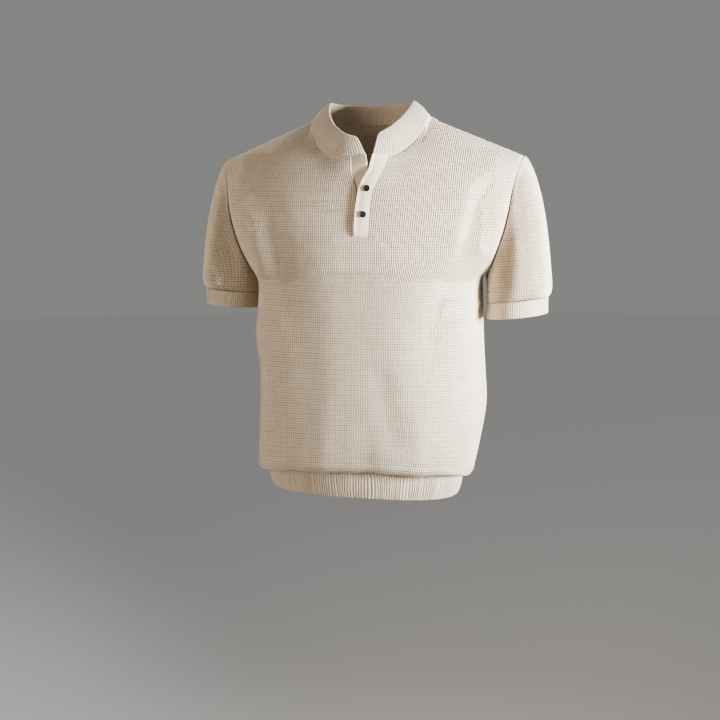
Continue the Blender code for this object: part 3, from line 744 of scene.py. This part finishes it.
def cuff_ring(sleeve, angles, height, outset=0.0, swell=0.0):
    half_x = sleeve["cuff_half_x"] + outset + swell / 2
    half_y = CUFF_HALF_Y + outset + swell
    x = swell / 2 - half_x * np.cos(angles)
    y = -half_y * np.sin(angles)
    z = sleeve["cuff_z"] + height + CUFF_TILT * x
    return np.stack((sleeve["side"] * (sleeve["cuff_x"] + x), y, z), axis=1)


def armhole_curve(column):
    """The armhole from the underarm up the front panel's edge and down the back one's."""
    steps = np.linspace(UNDERARM, len(front_control) - 1, 240)[:, None]
    front_edge = along_rows(front_control, np.repeat(steps, front_control.shape[1], axis=1))
    back_edge = along_rows(back_control, np.repeat(steps, back_control.shape[1], axis=1))
    return np.concatenate((front_edge[:, column], back_edge[::-1, column][1:]))


def sleeve_control(sleeve):
    """Rows from the cuff up to the armhole, with a column for every half wale."""
    count = 2 * SLEEVE_WALES
    ring = spread(armhole_curve(-1 if sleeve["side"] > 0 else 0), np.arange(count) / count)
    angles = 2 * math.pi * np.arange(count) / count
    swollen, *turn = (
        cuff_ring(sleeve, angles, CUFF_HEIGHT + height, swell=SLEEVE_SWELL * share)
        for height, share in SLEEVE_TURN
    )
    pull = ring + (swollen - ring) * SLEEVE_PULL
    rows = [ring, *(bezier(ring, pull, swollen, share) for share in SLEEVE_STEPS), *turn]
    return np.array(rows[::-1])


def sleeve_pressed(points, outs, folds):
    points = points.copy()
    around = (np.arange(points.shape[1]) / points.shape[1])[None, :]
    length = np.linalg.norm(np.diff(points, axis=0), axis=2)
    up = np.concatenate((np.zeros((1, points.shape[1])), np.cumsum(length, axis=0)))
    up = up / up.max()
    for values in folds:
        fold = dict(zip(SLEEVE_FOLD_COLUMNS, values))
        line = fold["round_low"] + (fold["round_top"] - fold["round_low"]) * up
        across = (around - line) / fold["half_width"]
        middle, reach = (fold["high"] + fold["low"]) / 2, (fold["high"] - fold["low"]) / 2
        fade = np.exp(-(((up - middle) / reach) ** 4))
        points -= outs * (fold["depth"] * np.exp(-(across**2)) * fade)[..., None]
    return points


for side_name, sleeve_values in SLEEVES.items():
    sleeve = dict(zip(SLEEVE_COLUMNS, sleeve_values))
    control = sleeve_control(sleeve)
    at, cloth, last = stitch_rows(control, 0)
    outs = unit(along_rows(sleeve["side"] * normals(control, closed=True), at))
    points = along_rows(control, at)
    edge = np.clip((last[None, :] - np.arange(len(points))[:, None]) / SLEEVE_FOLD_EDGE, 0.0, 1.0)
    pushed = sleeve_pressed(points, outs, SLEEVE_FOLDS[side_name])
    points = drawn_in(points + (pushed - points) * edge[..., None], outs, last, False)
    wale = np.broadcast_to(np.arange(points.shape[1]) / 2, at.shape)
    piece = shell(
        f"sleeve_{side_name}_knit",
        stitched(points, outs, last),
        points - WALL * outs,
        np.stack((wale, cloth / TUCK_PITCH), axis=-1),
        last,
        list(range(0, 2 * SLEEVE_WALES + 1, INNER_STEP)),
        [],
        True,
        knit,
    )
    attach(piece, "root")
    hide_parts(f"sleeve_{side_name}")

# --- cuffs ----------------------------------------------------------------------------------------
# Bands of fine rib, linked to the sleeves' lower edges, doubled over at the open edge.

BAND_WALL = 0.0030
RIB_COURSE = 0.0036
CUFF_RIBS = 84
CUFF_RIB_DEPTH = 0.0005
EDGE_ROUND = 0.0009  # how far a band's folded edge stands past its face
RIB_SHAPE = (1.0, 0.35, 0.0, 0.35)  # from a valley over the crest: share of the depth
RIB_UNEVEN = 0.35  # how much the ribs differ in depth
RIB_WAVES = (2.4, 0.37)  # how fast that changes from rib to rib, and in the long run
OUTER_ROWS = 13
ROLL_CROWD = 1.4  # crowds the rows towards the foot of a band whose seam rolls
ROLL_HEIGHT = (0.07, 0.055)  # middle and half-height of that roll, as shares of the band's height
# Round a band's wall, past its outer face: height past the edge as a share of EDGE_ROUND, and how
# far in as a share of the wall.
BAND_EDGE = ((0.7, 0.16), (1.0, 0.50), (0.7, 0.84))


def loft(name, rings, stitch, closed, look):
    """A solid through closed rings of points; an open one is capped."""
    count, size = rings.shape[:2]
    along = count if closed else count - 1
    number = (np.arange(along + 1)[:, None] % count) * size + np.arange(size + 1)[None, :] % size
    place = np.arange(number.size).reshape(number.shape)
    corners = np.stack((place[:-1, :-1], place[:-1, 1:], place[1:, 1:], place[1:, :-1]), axis=-1)
    places = corners.reshape(-1, 4).tolist()
    if not closed:
        places += [place[0, :-1][::-1].tolist(), place[-1, :-1].tolist()]
    faces = [number.ravel()[np.array(face)].tolist() for face in places]
    return mesh_piece(name, rings.reshape(-1, 3), faces, stitch.reshape(-1, 2), places, look)


def band(name, rows, aways, rib_depth, closed, look, sway=None, roll=0.0):
    """A ribbed band from its outer face's lower, middle and upper rows of points and the way out at
    each. Every rib has four columns. `roll` raises the linked seam at its foot."""
    low, mid, high = rows
    columns = low.shape[0]
    up = unit(high - low)
    heights = np.linspace(0.0, 1.0, OUTER_ROWS) ** (ROLL_CROWD if roll else 1.0)
    profile = [(h, 0.0, 0.0, 1.0) for h in heights]
    profile += [(1.0, e * EDGE_ROUND, d, 0.5 - 0.5 * d) for e, d in BAND_EDGE]
    profile += [(h, 0.0, 1.0, -0.4) for h in heights[::-2]]
    profile += [(0.0, -e * EDGE_ROUND, d, 0.5 - 0.5 * d) for e, d in BAND_EDGE[::-1]]
    count = np.arange(columns)
    quick, slow = (count // 4 * wave for wave in RIB_WAVES)
    uneven = 1 + RIB_UNEVEN * np.sin(quick) * np.sin(slow + 1.0)
    shape = (np.array(RIB_SHAPE)[count % 4] * uneven)[:, None]
    height = np.linalg.norm(high - low, axis=1).mean()
    rings, stitch = [], []
    for h, past, inward, relief in profile:
        weights = (1 - h) * (1 - 2 * h), 4 * h * (1 - h), h * (2 * h - 1)
        curve = sum(weight * row for weight, row in zip(weights, (low, mid, high)))
        away = unit(sum(weight * way for weight, way in zip(weights, aways)))
        curve = curve + up * past - away * (inward * BAND_WALL)
        curve = curve - away * (shape * relief * rib_depth)
        if relief > 0:
            from_roll = (h - ROLL_HEIGHT[0]) / ROLL_HEIGHT[1]
            curve = curve + away * (roll * math.exp(-(from_roll**2)))
        if sway is not None:
            curve = curve + sway(h)
        rings.append(curve)
        v = (h * height + past + inward * BAND_WALL * (1 if relief > 0 else 0)) / RIB_COURSE
        stitch.append(np.stack((np.arange(columns + 1) / 4, np.full(columns + 1, v)), axis=-1))
    rings = np.array(rings).transpose(1, 0, 2)
    stitch = np.array([*stitch, stitch[0]]).transpose(1, 0, 2)
    if not closed:
        stitch = stitch[:columns]
    return loft(name, rings, stitch, closed, look)


def rib_knit(start):
    """One rib to a count: a ridge of V stitches, and a shaded valley on either side."""
    rib, course = stitch_place(start)
    side = abs((rib + 0.5).part() - 0.5)
    valley = (1.0 - side / 0.20).bounded()
    climb = course.part()
    crest = 0.5 - side
    leg = (1.0 - abs(crest - 0.08 - climb * 0.16) / 0.15).bounded()
    fibres = fibre_fuzz(start)
    height = leg * 0.5 - valley * 0.5 + fibres * 0.45
    # painted shade: darker in the valleys and beside the legs; the added 0.20 darkens the whole rib
    # as painted shadow from the bloused cloth above the bands and as the denser rib's own shade
    shade = (valley * 0.46 + (1.0 - leg) * 0.10 + 0.20).bounded()
    return shade.mixed(yarn_colour(start), SHADOW_BROWN), height


rib = wool_finish("oatmeal_rib", rib_knit, 0.45)

for side_name, sleeve_values in SLEEVES.items():
    sleeve = dict(zip(SLEEVE_COLUMNS, sleeve_values))
    angles = 2 * math.pi * np.arange(4 * CUFF_RIBS) / (4 * CUFF_RIBS)
    heights = (0.0, CUFF_HEIGHT / 2, CUFF_HEIGHT - 2 * EDGE_ROUND)
    rows = [cuff_ring(sleeve, angles, h) for h in heights]
    aways = [unit(cuff_ring(sleeve, angles, h, outset=1.0) - row) for h, row in zip(heights, rows)]
    piece = band(f"cuff_{side_name}_rib", rows, aways, CUFF_RIB_DEPTH, True, rib)
    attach(piece, "root")
    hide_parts(f"cuff_{side_name}")

# --- waistband ------------------------------------------------------------------------------------
# A deeper band of the same rib, drawn in under the body, which blouses over it. Its ribs lean and
# waver, because the body's weight rests on them.

WAIST_RIBS = 204
WAIST_RIB_DEPTH = 0.0015
WAIST_CLEAR = 0.0006  # room between the band and the body it hangs from
WAIST_ROWS = ((1.0, 0.0060), (0.55, 0.0010), (0.0, 0.0))  # share of the height, inset
WAIST_LOW = {"right": -0.6070, "middle": -0.6115, "left": -0.6180}
WAIST_SWAY = ((7, 0.0026, 0.4), (13, 0.0018, 2.1), (29, 0.0012, 4.0))  # waves round, lean, start


def waist_ring(seam_ring, shares, height_share, inset):
    ring = spread(np.concatenate((seam_ring, seam_ring[:1])), shares)
    away = ring - ring.mean(axis=0)
    away[:, 2] = 0.0
    sideways_share = away[:, 0] / np.abs(away[:, 0]).max()
    side_z = np.where(sideways_share > 0, WAIST_LOW["left"], WAIST_LOW["right"])
    low = WAIST_LOW["middle"] + (side_z - WAIST_LOW["middle"]) * sideways_share**2
    ring[:, 2] += height_share * (low - ring[:, 2])
    return ring - unit(away) * inset, unit(away)


seam_ring = np.concatenate((front_control[0], back_control[0, ::-1][1:-1]))
waist_shares = np.arange(4 * WAIST_RIBS) / (4 * WAIST_RIBS)
waist_rows = [
    waist_ring(seam_ring, waist_shares, share, inset + WAIST_CLEAR) for share, inset in WAIST_ROWS
]
waist_along = unit(np.roll(waist_rows[1][0], -1, axis=0) - np.roll(waist_rows[1][0], 1, axis=0))


def waist_sway(h):
    """How far the ribs lean along the band at this share of its height, from the bottom."""
    lean = sum(
        amount * np.sin(2 * math.pi * waves * waist_shares + first)
        for waves, amount, first in WAIST_SWAY
    )
    return waist_along * (lean * math.sin(math.pi * (1 - h) / 1.6))[:, None]


waistband = band(
    "waistband_rib",
    [ring for ring, _ in waist_rows],
    [away for _, away in waist_rows],
    WAIST_RIB_DEPTH,
    True,
    rib,
    sway=waist_sway,
)
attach(waistband, "root")
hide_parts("waistband")

# --- collar ---------------------------------------------------------------------------------------
# A stand band of fine rib in place of a folding collar. It is linked to the neckline, open at the
# front, and its front corners are rounded where the band turns in.

COLLAR_RIBS = 136
COLLAR_RIB_DEPTH = 0.0005
COLLAR_TOP = {
    "half_x": 0.0690,
    "front_y": -0.0830,
    "back_y": 0.0700,
    "side_y": 0.0080,
    "front_z": -0.0420,
    "side_z": 0.0200,
    "back_z": 0.0190,
}
COLLAR_TOP_ENDS = {"left": 0.0280, "right": -0.0060}
COLLAR_BOTTOM_ENDS = {"left": 0.0205, "right": 0.0100}
COLLAR_SWELL = 0.0025
COLLAR_DIP_POWER = 1.2
COLLAR_GAP = 0.0003  # between the neckline and the band
COLLAR_ROLL = 0.0013  # how far the linked seam stands out along the neckline
COLLAR_CORNER = 0.0050  # radius of the rounded front corners
NECK_COLUMN = int(round(NECK_HALF / SHOULDER_HALF * middle_column))


def between_ends(loop, ends, at):
    steps = np.linalg.norm(np.diff(loop, axis=0), axis=1)
    along = np.concatenate(([0.0], np.cumsum(steps)))
    start, stop = ends["left"], along[-1] + ends["right"]
    lengths = start + np.asarray(at) * (stop - start)
    wrapped = np.concatenate((along, along[1:] + along[-1]))
    points = np.concatenate((loop, loop[1:]))
    return np.stack([np.interp(lengths, wrapped, c) for c in points.T], axis=1)


def collar_top(at):
    angles = np.linspace(-math.pi / 2, 1.5 * math.pi, 721)
    x = COLLAR_TOP["half_x"] * np.cos(angles)
    bow = np.sin(angles)
    y_end = np.where(bow < 0, COLLAR_TOP["front_y"], COLLAR_TOP["back_y"])
    z_end = np.where(bow < 0, COLLAR_TOP["front_z"], COLLAR_TOP["back_z"])
    y = COLLAR_TOP["side_y"] + (y_end - COLLAR_TOP["side_y"]) * np.abs(bow)
    z = COLLAR_TOP["side_z"] + (z_end - COLLAR_TOP["side_z"]) * np.abs(bow) ** COLLAR_DIP_POWER
    return between_ends(np.stack((x, y, z), axis=1), COLLAR_TOP_ENDS, at)


whole_top = whole_control[-1]
neck_left = whole_top[middle_column + 1 : middle_column + NECK_COLUMN + 1]
neck_right = whole_top[middle_column - NECK_COLUMN : middle_column]
neck_back = back_control[-1, middle_column - NECK_COLUMN : middle_column + NECK_COLUMN + 1][::-1]
neck_front = whole_top[middle_column : middle_column + 1]
neck_loop = np.concatenate((neck_front, neck_left, neck_back[1:-1], neck_right, neck_front))
collar_shares = np.linspace(0.0, 1.0, 4 * COLLAR_RIBS + 1)
collar_low = between_ends(neck_loop, COLLAR_BOTTOM_ENDS, collar_shares)
collar_low[:, 2] += COLLAR_GAP
collar_high = collar_top(collar_shares)
collar_mid = (collar_low + collar_high) / 2
collar_along = unit(np.gradient(collar_mid, axis=0))
collar_out = unit(np.cross(collar_along, unit(collar_high - collar_low)))
collar_mid = collar_mid + COLLAR_SWELL * collar_out
collar_level = unit(collar_out * (1.0, 1.0, 0.0))
from_end = np.minimum(collar_shares, 1 - collar_shares) * np.linalg.norm(
    np.diff(collar_high, axis=0), axis=1
).sum()
inside_corner = np.clip(1 - from_end / COLLAR_CORNER, 0.0, 1.0)
drop = COLLAR_CORNER * (1 - np.sqrt(1 - inside_corner**2))
collar_high = collar_high - unit(collar_high - collar_low) * drop[:, None]
collar_mid = collar_mid - unit(collar_high - collar_low) * drop[:, None] / 2
collar = band(
    "collar_rib",
    [collar_low, collar_mid, collar_high],
    [collar_level, collar_out, collar_out],
    COLLAR_RIB_DEPTH,
    False,
    rib,
    roll=COLLAR_ROLL,
)
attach(collar, "root")
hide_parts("collar")

# --- plackets -------------------------------------------------------------------------------------
# Two strips of plain fine knit along the slit. The over placket is sewn to the wearer's left edge
# and laps the other; its free edge is folded and thick, its sewn edge lies flat. The under placket
# is sewn behind the wearer's right edge and shows only in the open V.

PLACKET_WIDTH = 0.0218  # of the over placket
PLACKET_TUCK = 0.0030  # how far the under placket reaches in behind the panel
PLACKET_LIFT = 0.0005  # the over placket's height above the panel
PLACKET_BEHIND = 0.0027  # how far the under placket lies below the panel's face, past its wall
PLACKET_THICK = 0.0024
PLACKET_SIDE = 0.0008  # how far a strip's rounded edges stand out sideways
PLACKET_CREST = (0.16, 0.6)  # the folded edge's width as a share, and how much its foot rises too
PLACKET_FLAT = (0.45, 0.55, 1.5)  # where the strip starts to thin, over what share, and the power
PLACKET_LOW_END = 0.25  # share of the thickness at the strip's lower end
PLACKET_TURN = 0.0075  # how far the under strip's free edge turns out in the open V
PLACKET_TURN_Z = (-0.1010, 0.0160)  # where it starts to, and over what height
PLACKET_FADE = 0.012  # length over which the strip's lower end flattens into the panel
PLACKET_WALE = 0.0022
PLACKET_SHARES = np.linspace(0.0, 1.0, 25)


def strip(name, edges, lift, bulge, flat_edge, lapped, look):
    """A strip over the panel's own rows. `edges` gives its two sides as x for a height."""
    rings, stitch = [], []
    top = int(whole_last[middle_column])
    length = 0.0
    for k in range(slit_row, top + 1):
        row, out_row = whole_front[k], whole_outs[k]
        if k > slit_row:
            length += float(np.linalg.norm(row[middle_column] - whole_front[k - 1, middle_column]))
        x0, x1 = edges(row[middle_column, 2])
        x = x0 + (x1 - x0) * PLACKET_SHARES
        line = on_row(row, x)
        out = unit(np.stack([np.interp(x, row[:, 0], n) for n in out_row.T], axis=1))
        from_free = PLACKET_SHARES if lapped else 1 - PLACKET_SHARES
        low_end = 1.0
        if lapped:
            low_end = min(1.0, PLACKET_LOW_END + (1 - PLACKET_LOW_END) * length / PLACKET_FADE)
        thinned = np.clip((from_free - PLACKET_FLAT[0]) / PLACKET_FLAT[1], 0.0, 1.0)
        flat = 1.0 - flat_edge * thinned ** PLACKET_FLAT[2]
        thick = PLACKET_THICK * flat * low_end
        rise = bulge * np.exp(-((from_free / PLACKET_CREST[0]) ** 2)) * low_end
        above = min(1.0, max(0.0, (row[middle_column, 2] - PLACKET_TURN_Z[0]) / PLACKET_TURN_Z[1]))
        turned = PLACKET_TURN * above * PLACKET_SHARES
        base = lift + (PLACKET_CREST[1] * rise if lapped else turned)
        upper = line + out * (base + thick + rise)[:, None]
        lower = line + out * base[:, None]
        side = unit(line[-1] - line[0]) * PLACKET_SIDE
        middle = (upper + lower) / 2
        ring = [*upper, middle[-1] + side, *lower[::-1], middle[0] - side]
        wales = [*(x - x0), x1 - x0, *(x - x0)[::-1], 0.0, 0.0]
        rings.append(ring)
        stitch.append([(w / PLACKET_WALE, length / RIB_COURSE) for w in wales])
    piece = loft(name, np.array(rings), np.array(stitch), False, look)
    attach(piece, "root")
    return piece


def over_edges(z):
    free = float(slit_edge("over_x", z))
    return free, free + PLACKET_WIDTH


def under_edges(z):
    return float(slit_edge("panel_x", z)) - PLACKET_TUCK, float(slit_edge("under_x", z))


def plain_knit(start):
    """Fine plain knit: close wales of small V stitches."""
    wale, course = stitch_place(start)
    side = abs(wale.part() - 0.5)
    climb = (course * 1.6).part()
    leg = (1.0 - abs(side - 0.10 - climb * 0.22) / 0.20).bounded()
    fibres = fibre_fuzz(start)
    height = leg * 0.6 + fibres * 0.45
    # painted shade: darker between the stitch legs
    shade = ((1.0 - leg) * 0.20).bounded()
    return shade.mixed(yarn_colour(start), SHADOW_BROWN), height


plain = wool_finish("oatmeal_plain_knit", plain_knit, 0.30)
placket_over = strip("placket_over_knit", over_edges, PLACKET_LIFT, 0.0010, 0.85, True, plain)
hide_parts("placket_over")
placket_under = strip(
    "placket_under_knit", under_edges, -PLACKET_BEHIND - PLACKET_THICK, 0.0, 0.0, False, plain
)
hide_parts("placket_under")

# --- buttons --------------------------------------------------------------------------------------
# Two four-hole buttons of dark horn, polished, with a raised rim and a sunk middle. Each is sewn on
# with a dark thread in two parallel loops.

BUTTON_RADIUS = 0.0052
BUTTON_HEIGHT = 0.0024
BUTTON_HOLE = 0.00055
BUTTON_HOLE_OFFSET = 0.0013
BUTTON_INSET = 0.0130  # from the over placket's free edge
BUTTON_RIM = 0.26  # its width as a share of the radius
BUTTON_SINK = 0.0007  # how deep the middle is sunk
BUTTON_BEVEL = 0.00080
BUTTON_CLEAR = 0.0002  # room between the button and the placket
BUTTON_ROWS = 60  # rows up from the slit's foot that the buttons lie along
THREAD_RADIUS = 0.00030
THREAD_DEPTH = 0.0011  # how far the loops' middle lies below the button's face
BUTTONS = {"button_upper": -0.1240, "button_lower": -0.1630}


def horn(start):
    """Dark horn: near black, with faint brown streaks."""
    at = start.node("TexCoord", out=3)
    streak = start.node(
        "TexNoise", None, {"Vector": at, "Scale": 420.0, "Detail": 3.0, "Distortion": 1.4}
    )
    return ((streak - 0.45) * 2.4).bounded().mixed((0.006, 0.005, 0.004), (0.030, 0.019, 0.012))


button_look = bpy.data.materials.new("dark_horn")
button_look.use_nodes = True
button_shader = button_look.node_tree.nodes["Principled BSDF"]
button_shader.inputs["Roughness"].default_value = 0.13
button_shader.inputs["Specular IOR Level"].default_value = 0.45
button_look.node_tree.links.new(
    horn(Signal(button_look.node_tree)).socket, button_shader.inputs["Base Color"]
)
thread_look = bpy.data.materials.new("dark_thread")
thread_look.use_nodes = True
thread_shader = thread_look.node_tree.nodes["Principled BSDF"]
thread_shader.inputs["Roughness"].default_value = 0.7
thread_start = Signal(thread_look.node_tree)
twist = thread_start.node(
    "TexNoise", None, {"Vector": thread_start.node("TexCoord", out=3), "Scale": 5000.0}
)
thread_colour = twist.mixed((0.010, 0.008, 0.006), (0.035, 0.027, 0.020))
thread_look.node_tree.links.new(thread_colour.socket, thread_shader.inputs["Base Color"])


def faces_where(wanted):
    """In edit mode, selects only the faces whose middle and normal this function accepts."""
    button_mesh = bpy.context.object
    bpy.ops.mesh.select_all(action="DESELECT")
    bpy.ops.object.mode_set(mode="OBJECT")
    for face in button_mesh.data.polygons:
        face.select = wanted(face.center, face.normal)
    bpy.ops.object.mode_set(mode="EDIT")


def sewn_button(name, place, tip):
    bpy.ops.object.select_all(action="DESELECT")
    bpy.ops.mesh.primitive_cylinder_add(
        vertices=48, radius=BUTTON_RADIUS, depth=BUTTON_HEIGHT, location=(0, 0, BUTTON_HEIGHT / 2)
    )
    disc = bpy.context.object
    disc.name = name
    bpy.ops.object.transform_apply(location=True)
    bpy.ops.object.mode_set(mode="EDIT")
    bpy.ops.mesh.select_mode(type="FACE")
    faces_where(lambda c, n: n.z > 0.9)
    bpy.ops.mesh.inset(thickness=BUTTON_RADIUS * BUTTON_RIM)
    bpy.ops.mesh.extrude_region_move(TRANSFORM_OT_translate={"value": (0, 0, -BUTTON_SINK)})
    bpy.ops.transform.resize(value=(0.86, 0.86, 1.0))
    bpy.ops.object.mode_set(mode="OBJECT")
    soften = disc.modifiers.new("worn edges", "BEVEL")
    soften.width, soften.segments = BUTTON_BEVEL, 4
    soften.limit_method = "ANGLE"
    bpy.ops.object.modifier_apply(modifier="worn edges")
    for k in range(4):
        angle = math.pi / 4 + math.pi / 2 * k
        spot = (BUTTON_HOLE_OFFSET * math.cos(angle), BUTTON_HOLE_OFFSET * math.sin(angle), 0.0)
        bpy.ops.mesh.primitive_cylinder_add(
            vertices=16, radius=BUTTON_HOLE, depth=4 * BUTTON_HEIGHT, location=spot
        )
        drill = bpy.context.object
        bpy.context.view_layer.objects.active = disc
        cut = disc.modifiers.new("hole", "BOOLEAN")
        cut.object = drill
        bpy.ops.object.modifier_apply(modifier="hole")
        bpy.data.objects.remove(drill)
    disc.data.materials.append(button_look)
    loops = []
    for side in (-1, 1):
        bpy.ops.mesh.primitive_torus_add(
            major_segments=28,
            minor_segments=8,
            major_radius=BUTTON_HOLE_OFFSET * math.sqrt(0.5),
            minor_radius=THREAD_RADIUS,
            location=(
                side * BUTTON_HOLE_OFFSET * math.sqrt(0.5), 0.0, BUTTON_HEIGHT - THREAD_DEPTH
            ),
            rotation=(0.0, math.pi / 2, 0.0),
        )
        loops.append(bpy.context.object)
    bpy.ops.object.select_all(action="DESELECT")
    for loop in loops:
        loop.select_set(True)
    bpy.context.view_layer.objects.active = loops[0]
    bpy.ops.object.join()
    thread = bpy.context.object
    thread.name = name + "_thread"
    thread.data.materials.append(thread_look)
    for piece in (disc, thread):
        bpy.ops.object.select_all(action="DESELECT")
        piece.select_set(True)
        bpy.context.view_layer.objects.active = piece
        bpy.ops.object.transform_apply(location=True, rotation=True, scale=True)
        piece.data.transform(Matrix.Translation(place) @ Matrix.Rotation(tip, 4, "X"))
        bpy.ops.object.shade_smooth_by_angle(angle=math.radians(35))
        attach(piece, "root")
    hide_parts(name)
    disc.name = name + "_horn"


for button_name, button_z in BUTTONS.items():
    heights = whole_front[slit_row:, middle_column, 2]
    button_x = float(slit_edge("over_x", button_z)) + BUTTON_INSET
    line = np.array([on_row(row, button_x) for row in whole_front[slit_row:]])
    climb = unit(np.gradient(line[:BUTTON_ROWS], axis=0))
    low_heights = heights[:BUTTON_ROWS]
    spot = np.array([np.interp(button_z, heights, values) for values in line.T])
    rise = unit(np.array([np.interp(button_z, low_heights, values) for values in climb.T]))
    away = np.array((0.0, -rise[2], rise[1]))
    spot = spot + away * (PLACKET_LIFT + PLACKET_THICK + BUTTON_CLEAR)
    sewn_button(button_name, Vector(spot), math.atan2(-away[1], away[2]))
